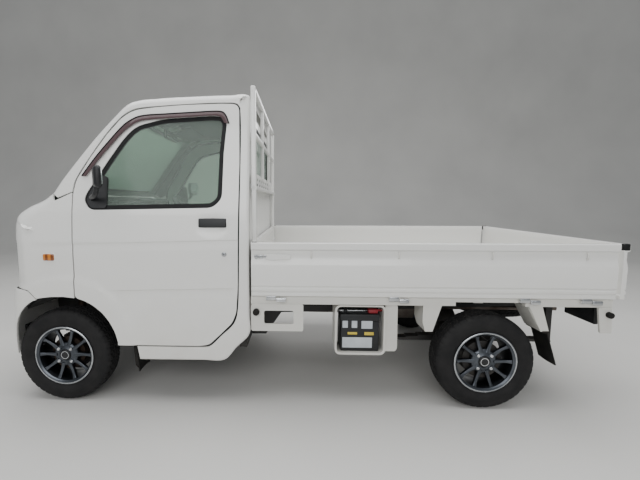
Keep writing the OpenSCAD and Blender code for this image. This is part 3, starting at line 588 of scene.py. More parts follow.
def offset_outline(points, distance):
    """A closed outline moved inwards (+) or outwards (-) by a distance."""
    count = len(points)
    area = sum(points[i - 1][0] * points[i][1] - points[i][0] * points[i - 1][1] for i in range(count))
    sign = 1 if area > 0 else -1
    result = []
    for i in range(count):
        before, here, after = (Vector(points[j % count]) for j in (i - 1, i, i + 1))
        one, two = (here - before).normalized(), (after - here).normalized()
        normal = Vector((-(one.y + two.y), one.x + two.x)) * sign
        if normal.length < 1e-9:
            normal = Vector((-one.y, one.x)) * sign
        normal.normalize()
        stretch = max(normal.dot(Vector((-one.y, one.x)) * sign), 0.5)
        result.append(tuple(here + normal * distance / stretch))
    return result


def sheet(outline, holes=(), columns=(), rows=(), slants=()):
    """A flat sheet in the XY plane, cut into cells; slants are (point, direction) lines."""
    bm = bmesh.new()
    kept = bm.edges.layers.int.new("kept")
    for loop in (outline, *holes):
        corners = [bm.verts.new((s, h, 0)) for s, h in loop]
        for a, b in zip(corners, corners[1:] + corners[:1]):
            bm.edges.new((a, b))
    bmesh.ops.triangle_fill(bm, edges=bm.edges[:], use_beauty=True, normal=(0, 0, 1))
    cuts = [((s, 0, 0), (1, 0, 0)) for s in columns] + [((0, h, 0), (0, 1, 0)) for h in rows]
    cuts += [((p[0], p[1], 0), (-d[1], d[0], 0)) for p, d in slants]
    for place, normal in cuts:
        made = bmesh.ops.bisect_plane(bm, geom=bm.verts[:] + bm.edges[:] + bm.faces[:], dist=1e-4,
            plane_co=place, plane_no=normal)
        for item in made["geom_cut"]:
            if isinstance(item, bmesh.types.BMEdge):
                item[kept] = 1
    loose = [e for e in bm.edges if not e[kept] and len(e.link_faces) == 2]
    bmesh.ops.dissolve_edges(bm, edges=loose, use_verts=False)
    return bm


def lay(bm, place):
    for v in bm.verts:
        v.co = place(v.co.x, v.co.y)
    bm.normal_update()
    return bm


def thicken(bm, thickness, inside):
    """Give a laid sheet its thickness towards the inside point."""
    bm.normal_update()
    facing = sum((f.calc_center_median() - Vector(inside)).dot(f.normal) * f.calc_area() for f in bm.faces)
    if facing < 0:
        bmesh.ops.reverse_faces(bm, faces=bm.faces[:])
        bm.normal_update()
    mesh = bpy.data.meshes.new("sheet")
    bm.to_mesh(mesh)
    holder = bpy.data.objects.new("sheet", mesh)
    bpy.context.scene.collection.objects.link(holder)
    wall = holder.modifiers.new("wall", "SOLIDIFY")
    wall.thickness, wall.offset, wall.use_even_offset = thickness, -1.0, False
    baked = bpy.data.meshes.new_from_object(holder.evaluated_get(bpy.context.evaluated_depsgraph_get()))
    bm.clear()
    bm.from_mesh(baked)
    bpy.data.objects.remove(holder)
    bpy.data.meshes.remove(mesh)
    bpy.data.meshes.remove(baked)
    return bm


CAB_MIDDLE = (AXLE_F - 0.45, 0.0, 0.95)
print("sheet helpers ready; cab middle", CAB_MIDDLE)

# %% [markdown]
# ## Splines through body lines
# The cab's front, roof and rear edge are lofted between an outer line, seen in profile, and an
# inner line, the edge of the door opening. Both are given at matching stations and a smooth
# curve runs through them, so a row of the loft is the same station on each line.

# %% Station spline
def at_station(values, k):
    """Smooth value at real station k through a list of tuples."""
    last = len(values) - 1
    i = min(int(k), last - 1)
    t = k - i

    def gap(j):
        return max(math.dist(values[j], values[j + 1]), 1e-6)

    here, there = Vector(values[i]), Vector(values[i + 1])
    span = gap(i)
    m0 = (there - here) if i == 0 else (there - Vector(values[i - 1])) * span / (span + gap(i - 1))
    m1 = (there - here) if i + 2 > last else (Vector(values[i + 2]) - here) * span / (span + gap(i + 1))
    t2, t3 = t * t, t * t * t
    return here * (2 * t3 - 3 * t2 + 1) + m0 * (t3 - 2 * t2 + t) + there * (3 * t2 - 2 * t3) + m1 * (t3
        - t2)


def linear_station(values, k):
    i = min(int(k), len(values) - 2)
    return values[i] * (1 - (k - i)) + values[i + 1] * (k - i)


# station lists: outer line, inner line, corner radius, and how the crown falls (backwards, down)
NOSE_OUTER = [(334.5, 660), (334.5, 740), (334.5, 870), (334.5, 978), (319, 1044), (291, 1080), (228, 1115),
    (148, 1147), (87, 1188)]
NOSE_INNER = [(-95.5, 640), (-95.5, 700), (-95.5, 800), (-95.5, 880), (-95.5, 945), (-95.5, 1000), (-95.5,
    1060), (-95.5, 1122), (-95.5, 1188)]
NOSE_RADIUS = [140, 140, 140, 140, 128, 112, 92, 74, 62]
RING_OUTER = [(83, 1194), (31, 1265), (-58, 1378), (-159, 1501), (-257, 1610), (-335, 1688), (-405, 1729),
    (-533, 1750), (-807, 1762), (-950, 1765), (-1044, 1764), (-1063, 1690), (-1063, 1342), (-1063, 685),
    (-1063, 520), (-1063, 416), (-990, 338), (-922, 266), (-800, 263), (-448, 261)]
RING_INNER = [(-95.5, 1194), (-111, 1262), (-184, 1384), (-269, 1510), (-346, 1600), (-392, 1634), (-436,
    1651), (-543, 1662), (-800, 1676), (-930, 1678), (-990, 1672), (-1011, 1640), (-1016.5, 1342), (-1008.5,
    685), (-998.5, 532), (-975, 470), (-908, 405), (-843, 345), (-784, 338), (-436, 338)]
RING_RADIUS = [60, 46, 40, 38, 38, 40, 44, 46, 46, 46, 40, 24, 18, 16, 14, 12, 10, 10, 9, 9]
RING_FALL = [(1, 0), (1, 0), (1, 0), (1, 0), (1, 0.05), (0.75, 0.35), (0.35, 0.8), (0.05, 1), (0, 1), (0,
    1), (0, 1), (0, 0), (0, 0), (0, 0), (0, 0), (0, 0), (0, 0), (0, 0), (0, 0), (0, 0)]
PLAN_RADIUS = 3844.0
CROWN_RADIUS = 4186.0


def loft_point(outer, inner, radius, fall, k, s):
    """Point of the left half: s 0..1 crosses the crown, 1..2 turns the corner, 2..3 runs down the side."""
    spot = at_station(outer, k)
    step = at_station(outer, min(k + 0.02, len(outer) - 1)) - at_station(outer, max(k - 0.02, 0))
    n = Vector((step.y, -step.x)).normalized()
    r = linear_station(radius, k)
    back = linear_station([f[0] for f in fall], k)
    down = linear_station([f[1] for f in fall], k)

    def crown(y):
        return spot + Vector((-back * y * y / (2 * PLAN_RADIUS), -down * y * y / (2 * CROWN_RADIUS)))

    y0 = BASE_Y - r - 60
    for _ in range(8):
        slope = (back * n.x / PLAN_RADIUS + down * n.y / CROWN_RADIUS) * y0
        first = math.atan(slope)
        start = crown(y0)
        centre = start - n * r * math.cos(first)
        centre_y = y0 - r * math.sin(first)
        last = math.pi / 2 - 0.16 * max(n.y, 0.0) * ease(950, 1150, start.y)
        end = centre + n * r * math.cos(last)
        y0 += side_mm(end.x, end.y) - (centre_y + r * math.sin(last))
    if s <= 1:
        y = y0 * s
        p = crown(y)
    elif s <= 2:
        turn = first + (last - first) * (s - 1)
        p = centre + n * r * math.cos(turn)
        y = centre_y + r * math.sin(turn)
    else:
        t = s - 2
        p = end.lerp(at_station(inner, k), t)
        y = side_mm(p.x, p.y)
    return Vector((AXLE_F + p.x * MM, y * MM, p.y * MM))


def loft(outer, inner, radius, fall, stations, spans):
    """A grid over stations k and spans s for the left half; s is 0 at the middle of the vehicle."""
    bm = bmesh.new()
    bmesh.ops.create_grid(bm, x_segments=len(stations) - 1, y_segments=len(spans) - 1, size=0.5)
    for v in bm.verts:
        k = stations[round((v.co.x + 0.5) * (len(stations) - 1))]
        s = spans[round((v.co.y + 0.5) * (len(spans) - 1))]
        v.co = loft_point(outer, inner, radius, fall, k, s)
    return bm


def steps(start, end, count):
    return [start + (end - start) * i / count for i in range(count + 1)]


sample = loft_point(RING_OUTER, RING_INNER, RING_RADIUS, RING_FALL, 3, 1.5)
print("windscreen pillar corner at", tuple(round(c, 3) for c in sample))

# %% [markdown]
# ## Nose and wings
# The nose panel runs from one door round to the other above the bumper. Its lower edge follows
# the bumper seam and then the wheel arch, so the lowest rows of the loft are bent to that line
# and the bend fades out upwards. It is thickened as steel with a folded edge would look.

# %% Nose
BOTTOM_LINE = [(-110, 609), (-34, 616), (40, 613), (90, 606), (117, 600), (125, 604), (160, 648), (190,
    657), (240, 660), (500, 660)]


def on_line(line, x):
    for (x0, z0), (x1, z1) in zip(line, line[1:]):
        if x <= x1:
            return z0 + (z1 - z0) * min(max((x - x0) / (x1 - x0), 0), 1)
    return line[-1][1]


def nose_sheet():
    fall = [(1, 0)] * len(NOSE_OUTER)
    stations = steps(0, 3, 22) + steps(3, 8, 40)[1:]
    spans = steps(0, 1, 14)[:-1] + steps(1, 2, 12)[:-1] + steps(2, 3, 24)
    bm = loft(NOSE_OUTER, NOSE_INNER, NOSE_RADIUS, fall, stations, spans)
    for v in bm.verts:
        a, z = (v.co.x - AXLE_F) / MM, v.co.z / MM
        row0 = 660 if a > 200 else 660 + (a - 200) / 295.5 * 20
        share = min(max((z - row0) / 330, 0), 1)
        shift = (on_line(BOTTOM_LINE, a) - row0) * (1 - share) ** 2
        z += shift
        v.co.z = z * MM
        if a < 195 and share < 1:
            v.co.y = side_mm(a, z) * MM
    return bm


def crossed(bm):
    """Add the mirror image and weld the middle."""
    whole = twin(bm)
    bmesh.ops.remove_doubles(whole, verts=whole.verts[:], dist=1e-5)
    return whole


nose = piece(thicken(crossed(nose_sheet()), 0.012, CAB_MIDDLE), "nose_and_wings", WHITE_ENAMEL,
    nodes=("cab_front_panel",), bevel=0.0012)
print("nose:", len(nose.data.polygons), "faces")

# %% [markdown]
# ## Pillars, roof and door frame
# One pressing runs from the windscreen pillar along the roof edge, down behind the door and
# under it as the sill. With the roof skin it makes a single smooth loft: the roof uses the
# middle spans, the side frame the outer ones. The windscreen is then carved out of it.

# %% Cab shell
spans_roof = steps(0, 1, 14)[:-1] + steps(1, 2, 8)[:-1] + steps(2, 3, 6)
upper = loft(RING_OUTER, RING_INNER, RING_RADIUS, RING_FALL, steps(0, 10, 90), spans_roof)
lower = loft(RING_OUTER, RING_INNER, RING_RADIUS, RING_FALL, steps(10, 19, 90), steps(1, 2, 8)[:-1]
    + steps(2, 3, 6))
shell = piece(thicken(crossed(join(upper, lower)), 0.014, CAB_MIDDLE), "cab_shell", WHITE_ENAMEL,
    nodes=("cab_sides", "roof_panel"), bevel=0.0012)


def screen_cut(margin):
    """The windscreen opening as a prism through the front, seen from ahead."""
    corners = [(-0.585, 1.215), (0.585, 1.215), (0.512, 1.655), (-0.512, 1.655)]
    shape = rounded(offset_outline(corners, margin), 0.055, 6)
    return along("x", shape, AXLE_F - 0.46, AXLE_F + 0.2)


carve(shell, [screen_cut(0.0)])
print("cab shell:", len(shell.data.polygons), "faces")

# %% [markdown]
# ## Door skins
# The door covers the rear of the wheel-arch flare, both creases and the hand scoop, so it must
# follow the side surface closely. Extra cuts run along both creases so that their thin ledge is
# crisp. A black rubber ring sits behind the gap round the door where a weatherstrip sits; it is
# painted shade, there to keep the gap dark where its shadow falls.

# %% Door outline and skin
DOOR_OUTLINE = [(-102, 1186), (-118, 1259), (-191, 1382), (-276, 1506), (-353, 1595), (-398, 1627), (-440,
    1643), (-543, 1655), (-702, 1666), (-903, 1671), (-975, 1669), (-996, 1659), (-1004, 1640), (-1010,
    1342), (-1002, 685), (-992, 536), (-969, 478), (-905, 415), (-841, 354), (-784, 345), (-329, 345),
    (-331, 360), (-318, 415), (-290, 474), (-250, 528), (-200, 570), (-150, 597), (-102, 611)]
GLASS_OUTLINE = [(-181, 1149), (-189, 1176), (-300, 1352), (-384, 1476), (-446, 1538), (-593, 1575), (-860,
    1590), (-905, 1585), (-923, 1560), (-909, 1404), (-903, 1161), (-862, 1122), (-275, 1111), (-205, 1111)]
glass_edge = rounded(GLASS_OUTLINE, 42, 6)
window_hole = offset_outline(glass_edge, -16)
WAIST = ((134, 908), (-1, 0.0263))
LOW_LINE = ((-306, 655), (-1, 0.0272))


def shifted(line, dz):
    return ((line[0][0], line[0][1] + dz), line[1])


door_cuts = [shifted(WAIST, dz) for dz in (0, -5, -9, -18, -32, -52)] + [shifted(LOW_LINE, dz) for dz in (0,
    -5, -9, -18, -34, -56)]


def door_cells():
    columns = [-115 - 24 * i for i in range(37)]
    rows = [370 + 24 * i for i in range(54)]
    return sheet(rounded(DOOR_OUTLINE, 22, 4), [window_hole], columns, rows, door_cuts)


door = piece(thicken(lay(door_cells(), at_side), 0.011, CAB_MIDDLE), "door_skin_left", WHITE_ENAMEL,
    "door_left", nodes=("door_left",), bevel=0.0022)
print("door skin:", len(door.data.polygons), "faces")

# %% [markdown]
# The inner door is a thick frame with a rounded board between. Its edge shows when the door
# swings open, so it carries the same outline, drawn in a little.

# %% Inner door, trim board and seals
def ring_sheet(outer, inner, columns=(), rows=()):
    return sheet(outer, [inner], columns, rows)


inner_outline = offset_outline(rounded(DOOR_OUTLINE, 30, 4), 9)
cells = dict(columns=[-120 - 60 * i for i in range(15)], rows=[390 + 60 * i for i in range(21)])
inner = lay(sheet(inner_outline, [offset_outline(glass_edge, -8)], **cells), lambda a, z: at_side(a, z,
    9.0))
door_frame = piece(thicken(inner, 0.03, CAB_MIDDLE), "door_frame_left", WHITE_ENAMEL, "door_left",
    bevel=0.004)
board_outline = rounded([(-150, 1085), (-965, 1085), (-962, 560), (-880, 440), (-790, 395), (-345, 395),
    (-300, 520), (-205, 610), (-150, 640)], 40, 5)
board = lay(sheet(board_outline, [], **cells), lambda a, z: at_side(a, z, 40.0))
door_board = piece(thicken(board, 0.012, CAB_MIDDLE), "door_board_left", TRIM_PLASTIC, "door_left",
    bevel=0.004)
armrest = block((AXLE_F - 0.78, SIDE_Y - 0.115, 0.845), (AXLE_F - 0.40, SIDE_Y - 0.052, 0.885), 0.014)
winder = join(drum((AXLE_F - 0.43, SIDE_Y - 0.075, 0.74), "y", 0.02, 0.035, 20, 0.004), block((AXLE_F
    - 0.52, SIDE_Y - 0.103, 0.728), (AXLE_F - 0.43, SIDE_Y - 0.09, 0.752), 0.006), drum((AXLE_F - 0.51,
    SIDE_Y - 0.112, 0.74), "y", 0.013, 0.03, 16, 0.003))
pull = piece(join(armrest, winder), "door_pull_left", DASH_PLASTIC, "door_left")

seal = lay(ring_sheet(window_hole, offset_outline(glass_edge, 8), **cells), lambda a, z: at_side(a, z, 5.0))
window_seal = piece(thicken(seal, 0.009, CAB_MIDDLE), "window_seal_left", SEAL_RUBBER, "door_left",
    bevel=0.0018)
# black ring behind the door gap: painted shade that keeps the gap dark
strip = lay(ring_sheet(offset_outline(rounded(DOOR_OUTLINE, 26, 4), -9),
    offset_outline(rounded(DOOR_OUTLINE, 26, 4), 5), **cells), lambda a, z: at_side(a, z, 15.0))
door_gap_shade_strip = piece(thicken(strip, 0.006, CAB_MIDDLE), "door_weatherstrip_left", SEAL_RUBBER, "body")
print("door inner pieces:", door_frame.name, door_board.name, window_seal.name, door_gap_shade_strip.name)

# %% [markdown]
# ## Window furniture
# The front corner of each side window is a black moulded quarter that carries the mirror. Over
# the top of the window a smoked rain visor is stuck to the frame: a narrow band, proud of the
# door, with a dark outer lip.

# %% Quarter panel, visor, handle and key
quarter = rounded([(-176, 1144), (-193, 1188), (-247, 1279), (-290, 1279), (-290, 1104), (-205, 1104)], 20,
    5)
quarter_bm = lay(sheet(quarter, [], [-210, -240, -270], [1130, 1160, 1190, 1220, 1250]), lambda a,
    z: at_side(a, z, -1.0))
window_quarter = piece(thicken(quarter_bm, 0.014, CAB_MIDDLE), "window_quarter_left", BLACK_PLASTIC,
    "door_left", bevel=0.002)

VISOR_OUTER = [(-147, 1279), (-220, 1382), (-295, 1474), (-345, 1532), (-392, 1575), (-461, 1607), (-600,
    1617), (-760, 1625), (-875, 1630), (-915, 1625), (-934, 1605), (-951, 1562)]
VISOR_INNER = [(-176, 1279), (-242, 1368), (-318, 1458), (-366, 1512), (-410, 1549), (-468, 1578), (-600,
    1590), (-760, 1598), (-868, 1604), (-896, 1600), (-912, 1588), (-926, 1562)]
visor_loft = bmesh.new()
bmesh.ops.create_grid(visor_loft, x_segments=44, y_segments=4, size=0.5)
for v in visor_loft.verts:
    k, s = (v.co.x + 0.5) * (len(VISOR_OUTER) - 1), v.co.y + 0.5
    p = at_station(VISOR_OUTER, k).lerp(at_station(VISOR_INNER, k), s)
    v.co = at_side(p.x, p.y, -3.0 - 11.0 * math.sin(s * math.pi * 0.55))
visor = piece(thicken(visor_loft, 0.003, CAB_MIDDLE), "rain_visor_left", SMOKE_ACRYLIC, "door_left",
    bevel=0.0008)
lip = tube([at_side(*at_station(VISOR_OUTER, k / 4), -5.0) for k in range(4 * (len(VISOR_OUTER) - 1) + 1)],
    0.0032, 8)
visor_lip = piece(lip, "rain_visor_lip_left", SEAL_RUBBER, "door_left")

grip_low = at_side(-945, 1004)
grip = block((grip_low.x, side_mm(-870, 1060) * MM - 0.008, 1.001), (AXLE_F - 0.792, side_mm(-870, 1060)
    * MM + 0.0065, 1.051), 0.016, 5)
for v in grip.verts:
    v.co.y -= 0.086 * (v.co.z - 1.026)
door_grip = piece(grip, "door_handle_left", BLACK_PLASTIC, "door_left")
key_spot = at_side(-931, 858)
lock = join(drum((key_spot.x, key_spot.y + 0.001, key_spot.z), "y", 0.0135, 0.006, 28, 0.0018),
    drum((key_spot.x, key_spot.y + 0.005, key_spot.z), "y", 0.0075, 0.004, 20, 0.001))
# the key slot is a black block on the cylinder face: painted shade standing in for the dark hollow of the
# slot
key_slot_shade = block((key_spot.x - 0.001, key_spot.y + 0.006, key_spot.z - 0.005), (key_spot.x + 0.001,
    key_spot.y + 0.0078, key_spot.z + 0.005))
door_lock = piece(lock, "key_cylinder_left", BRIGHT_PLATE, "door_left")
door_key_slot_shade = piece(key_slot_shade, "key_slot_left", SEAL_RUBBER, "door_left")
print("visor and handle made")

# %% [markdown]
# ## Door mirror
# The mirror is a tall rounded shell on a short arm. It is built from a block whose edges are
# heavily beveled, tapered towards the outside, with the glass set into its rear face. The head
# is then turned so that the glass faces the driver.

# %% Mirror
m_low, m_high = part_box("mirror_left")
stem = (m_high.x - 0.122, SIDE_Y + 0.076, 0.0)
head = block((-0.023, -0.050, m_low.z + 0.104), (0.023, 0.060, m_high.z), 0.021, 5)
for v in head.verts:
    out = (v.co.y + 0.050) / 0.110
    v.co.x -= 0.010 * out * (1 if v.co.x > 0 else 0)
    v.co.z += 0.010 * math.sin(out * math.pi) * (-1 if v.co.z < 1.25 else 0)
pane_bm = block((-0.0245, -0.040, m_low.z + 0.118), (-0.019, 0.050, m_high.z - 0.014), 0.0026, 4)
turned_head = Matrix.Translation(stem) @ Matrix.Rotation(math.radians(30), 4, "Z")
for bm in (head, pane_bm):
    bmesh.ops.transform(bm, matrix=turned_head, verts=bm.verts[:])
arm = tube([(stem[0], stem[1], m_low.z + 0.13), (stem[0] + 0.01, stem[1] - 0.004, m_low.z + 0.062),
    (m_high.x - 0.03, m_low.y + 0.045, m_low.z + 0.050), (m_high.x - 0.018, m_low.y + 0.006, m_low.z
    + 0.045)], 0.013, 12)
foot = block((m_high.x - 0.052, m_low.y, m_low.z), (m_high.x, m_low.y + 0.024, m_low.z + 0.07), 0.009, 4)
mirror_body = piece(join(head, arm, foot), "door_mirror_left", BLACK_PLASTIC, "door_left",
    nodes=("mirror_left",))
mirror_pane = piece(pane_bm, "mirror_glass_left", MIRROR_SILVER, "door_left")

# side repeater on the wing
lamp = block((AXLE_F + 0.006, BASE_Y * MM - 0.006, 0.817), (AXLE_F + 0.068, BASE_Y * MM + 0.009, 0.855),
    0.009, 4)
repeater = piece(lamp, "side_repeater_left", AMBER_LENS, "body")
bezel = block((AXLE_F + 0.002, BASE_Y * MM - 0.006, 0.813), (AXLE_F + 0.072, BASE_Y * MM + 0.002, 0.859),
    0.009, 4)
repeater_bezel = piece(bezel, "side_repeater_bezel_left", WHITE_ENAMEL)

# %% The right-hand side
for left, body, slot, nodes in (
    (door, "door_right", "body_paint", ("door_right",)),
    (door_frame, "door_right", "body_paint", ()),
    (door_board, "door_right", "dash_plastic", ()),
    (pull, "door_right", "dash_plastic", ()),
    (window_seal, "door_right", "black_plastic", ()),
    (door_gap_shade_strip, "body", "black_plastic", ()),
    (window_quarter, "door_right", "black_plastic", ()),
    (visor, "door_right", "cab_glass", ()),
    (visor_lip, "door_right", "black_plastic", ()),
    (door_grip, "door_right", "black_plastic", ()),
    (door_lock, "door_right", "black_plastic", ()),
    (door_key_slot_shade, "door_right", "black_plastic", ()),
    (mirror_body, "door_right", "black_plastic", ("mirror_right",)),
    (mirror_pane, "door_right", "cab_glass", ()),
    (repeater, "body", "lamp_glass", ()),
    (repeater_bezel, "body", "body_paint", ()),
):
    mirrored(left, left.name.replace("left", "right"), body, nodes)
print("right-hand door dressed")

# %% [markdown]
# ## Drop gates
# Each gate is one rolled steel section: a boxed rail on top, a recess under it where the rope
# hooks hide, a plain panel, and two beads at the foot for stiffness. Pulling one outline along
# the gate makes all of that at once, just as the rolling mill does. The tailgate is the same
# section turned across the bed.

# %% Gate section
GATE_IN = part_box("side_gate_left")[0].y
gate_low, gate_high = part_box("side_gate_left")
tail_low, tail_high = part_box("tailgate")
GATE_SECTION = [(0, 922), (29, 922), (32, 919), (32, 888), (29, 884), (20, 882), (18.5, 878), (18.5, 836),
    (22, 828), (27, 806), (28.5, 800), (28.5, 690), (26, 687), (23, 684), (23, 681), (28.5, 677), (30, 670),
    (28, 661), (23, 657), (23, 654), (26, 650), (26, 634), (24, 632), (2, 632), (0, 634), (0, 652), (4,
    658), (4, 872), (0, 880)]


def gate_outline(out_from, outwards):
    return [(out_from + outwards * d * MM, z * MM) for d, z in GATE_SECTION]


gate_bm = along("x", gate_outline(GATE_IN, 1), gate_low.x + 0.0015, gate_high.x - 0.0015)
side_gate = piece(gate_bm, "gate_panel_left", WHITE_ENAMEL, "side_gate_left",
    nodes=("side_gate_left",), bevel=0.0014, smooth_angle=30)
tail_bm = along("y", gate_outline(TAIL_X + 0.0325, -1), tail_low.y + 0.0015, tail_high.y - 0.0015)
tail_gate = piece(tail_bm, "gate_panel_rear", WHITE_ENAMEL, "tailgate", nodes=("tailgate",),
    bevel=0.0014, smooth_angle=30)
print("gates:", len(side_gate.data.polygons), "and", len(tail_gate.data.polygons), "faces")

# %% [markdown]
# ## Hooks, latches and hinges
# Rope hooks are bent rod loops that stand out of the recess. Each gate is held up by a lever
# latch at its front corner and swings on bright two-leaf hinges; the fixed leaf belongs to the
# bed and the other to the gate, so they part company when the gate drops.

# %% Side gate hardware
def hook(x):
    y = GATE_IN + 0.016
    return tube([(x, y, 0.874), (x, y + 0.012, 0.873), (x, y + 0.0155, 0.866), (x, y + 0.0155, 0.848), (x, y
        + 0.012, 0.841), (x, y, 0.840)], 0.0034, 8)


hooks = join(*[hook(AXLE_F + a * MM) for a in (-1399, -1862, -2345, -2826)])
rope_hooks = piece(hooks, "rope_hooks_left", BRACKET_ENAMEL, "side_gate_left")

lever_y = GATE_IN + 0.019
lever = along("y", rounded([(AXLE_F - 1.288, 0.857), (AXLE_F - 1.288, 0.833), (AXLE_F - 1.18, 0.829),
    (AXLE_F - 1.15, 0.836), (AXLE_F - 1.142, 0.848), (AXLE_F - 1.15, 0.862)], 0.006, 4), lever_y, lever_y
    + 0.011)
striker = join(block((AXLE_F - 1.142, lever_y - 0.001, 0.836), (AXLE_F - 1.118, lever_y + 0.006, 0.856),
    0.004), drum((AXLE_F - 1.105, lever_y + 0.003, 0.846), "y", 0.012, 0.012, 24, 0.002), drum((AXLE_F
    - 1.152, lever_y + 0.008, 0.849), "y", 0.008, 0.014, 20, 0.002))
latch_lever = piece(lever, "gate_lever_left", WHITE_ENAMEL, "side_gate_left", bevel=0.0012)
latch_parts = piece(striker, "gate_striker_left", BRIGHT_PLATE, "side_gate_left")

HINGE_A = (-1210, -1869, -2553, -2869)
fixed, swinging = [], []
for a in HINGE_A:
    x = AXLE_F + a * MM
    for side, leaves in ((-1, fixed), (1, swinging)):
        x0, x1 = sorted((x + side * 0.0015, x + side * 0.053))
        leaves.append(drum(((x0 + x1) / 2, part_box("side_gate_left")[0].y + 0.022, 0.615), "x", 0.0078,
            x1 - x0, 20, 0.001))
        top = 0.632 if side > 0 else 0.618
        low = 0.611 if side > 0 else 0.6
        leaves.append(block((x0, GATE_IN + 0.0235, low), (x1, GATE_IN + 0.0305, top), 0.003))
fixed_leaves = piece(join(*fixed), "bed_hinge_leaves_left", BRIGHT_PLATE)
gate_leaves = piece(join(*swinging), "gate_hinge_leaves_left", BRIGHT_PLATE, "side_gate_left")
for left, body in (
    (rope_hooks, "side_gate_right"),
    (latch_lever, "side_gate_right"),
    (latch_parts, "side_gate_right"),
    (fixed_leaves, "body"),
    (gate_leaves, "side_gate_right"),
):
    mirrored(left, left.name.replace("left", "right"), body)
mirrored(side_gate, "gate_panel_right", "side_gate_right", ("side_gate_right",))
print("side gate hardware: hooks, latch and", len(HINGE_A), "hinges a side")

# %% Tailgate hardware and rubber caps
tail_parts = []
for y in (-0.6075, 0.0, 0.6075):
    for side in (-1, 1):
        y0, y1 = sorted((y + side * 0.0015, y + side * 0.053))
        tail_parts.append((side, drum((TAIL_X + 0.009, (y0 + y1) / 2, 0.615), "y", 0.0078, y1 - y0, 20,
            0.001)))
        low, top = (0.611, 0.634) if side > 0 else (0.596, 0.612)
        tail_parts.append((side, block((TAIL_X + 0.0015, y0, low), (TAIL_X + 0.0085, y1, top), 0.003)))
piece(join(*[b for s, b in tail_parts if s > 0]), "gate_hinge_leaves_rear", BRIGHT_PLATE, "tailgate")
piece(join(*[b for s, b in tail_parts if s < 0]), "bed_hinge_leaves_rear", BRIGHT_PLATE)
caps = twin(block((TAIL_X + 0.0005, tail_high.y - 0.024, 0.888), (TAIL_X + 0.034, tail_high.y + 0.0005,
    0.9245), 0.006))
piece(caps, "tailgate_rubber_caps", SEAL_RUBBER, "tailgate")
front_caps = twin(block((gate_high.x - 0.03, GATE_IN - 0.002, 0.9205), (gate_high.x - 0.004, GATE_IN
    + 0.014, 0.9245), 0.0015))
piece(front_caps, "guard_rubber_caps", SEAL_RUBBER, "body")
tail_levers = []
for side in (-1, 1):
    y = side * (tail_high.y - 0.13)
    tail_levers.append(block((TAIL_X + 0.0045, y - 0.07, 0.834), (TAIL_X + 0.015, y + 0.07, 0.858), 0.004))
    tail_levers.append(drum((TAIL_X + 0.009, y + side * 0.085, 0.846), "x", 0.011, 0.012, 20, 0.002))
piece(join(*tail_levers), "tailgate_levers", WHITE_ENAMEL, "tailgate")
print("tailgate hardware made")

# %% [markdown]
# ## Bed floor, sills and back of the cab
# The floor is a sheet with shallow pressed ribs running along it, so that loads slide and the
# sheet stays stiff. The back wall of the cab is pressed in upright flutes, which catch light as
# fine vertical lines.

# %% Floor ribs and fluted back wall
ribs = []
for i in range(13):
    y = -0.6 + 0.1 * i
    ribs.append(block((tail_low.x + 0.11, y - 0.018, BED_FLOOR_Z - 0.002), (BED_FRONT - 0.075, y + 0.018,
        BED_FLOOR_Z + 0.0035), 0.003, 2))
piece(join(*ribs), "bed_floor_ribs", BED_ENAMEL)

window = rounded([(-0.47, 1.25), (0.47, 1.25), (0.47, 1.59), (-0.47, 1.59)], 0.06, 6)
wall_outline = [(-0.69, 0.43), (0.69, 0.43), (0.705, 1.1), (0.61, 1.66), (-0.61, 1.66), (-0.705, 1.1)]


def fluted(y, z):
    swell = ease(0.47, 0.52, z) * (1 - ease(1.17, 1.21, z)) * (1 - ease(0.62, 0.65, abs(y)))
    return Vector((CAB_BACK + 0.006 + 0.0045 * swell * math.cos(y / 0.055 * 2 * math.pi) - 0.0045 * swell,
        y, z))


wall = lay(sheet(wall_outline, [window], [-0.68 + 0.01 * i for i in range(137)], [0.5 + 0.06 * i
    for i in range(20)]), fluted)
back_wall = piece(thicken(wall, 0.008, CAB_MIDDLE), "cab_back_wall", WHITE_ENAMEL, nodes=("cab_back_panel",
    ), bevel=0.001)
rear_seal = sheet(offset_outline(window, -0.014), [offset_outline(window, 0.016)], [-0.3, 0, 0.3], [1.35,
    1.5])
piece(thicken(lay(rear_seal, lambda y, z: Vector((CAB_BACK, y, z))), 0.014, CAB_MIDDLE), "rear_window_seal",
    SEAL_RUBBER, "body", bevel=0.003)
print("back wall:", len(back_wall.data.polygons), "faces")

# %% [markdown]
# ## Guard frame
# Behind the cab stands a welded frame of square tube that keeps a load off the window. It has a
# slotted plate low down, folded into a small shelf, and the bed's front wall closes it below.

# %% Guard frame
guard_low, guard_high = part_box("guard_frame")
GX0, GX1 = guard_low.x + 0.004, guard_high.x - 0.001
TOP = guard_high.z
bars = []
for side in (-1, 1):
    y0, y1 = sorted((side * 0.622, side * 0.660))
    bars.append(block((GX0, y0, 0.626), (GX1, y1, TOP), 0.006))
    y0, y1 = sorted((side * 0.200, side * 0.224))
    bars.append(block((GX0 + 0.002, y0, 1.290), (GX1 - 0.002, y1, TOP - 0.012), 0.005))
bars.append(block((GX0, -0.655, TOP - 0.028), (GX1, 0.655, TOP), 0.006))
bars.append(block((GX0 + 0.001, -0.655, 1.494), (GX1 - 0.001, 0.655, 1.518), 0.005))
piece(join(*bars), "guard_tubes", WHITE_ENAMEL, nodes=("guard_frame",))

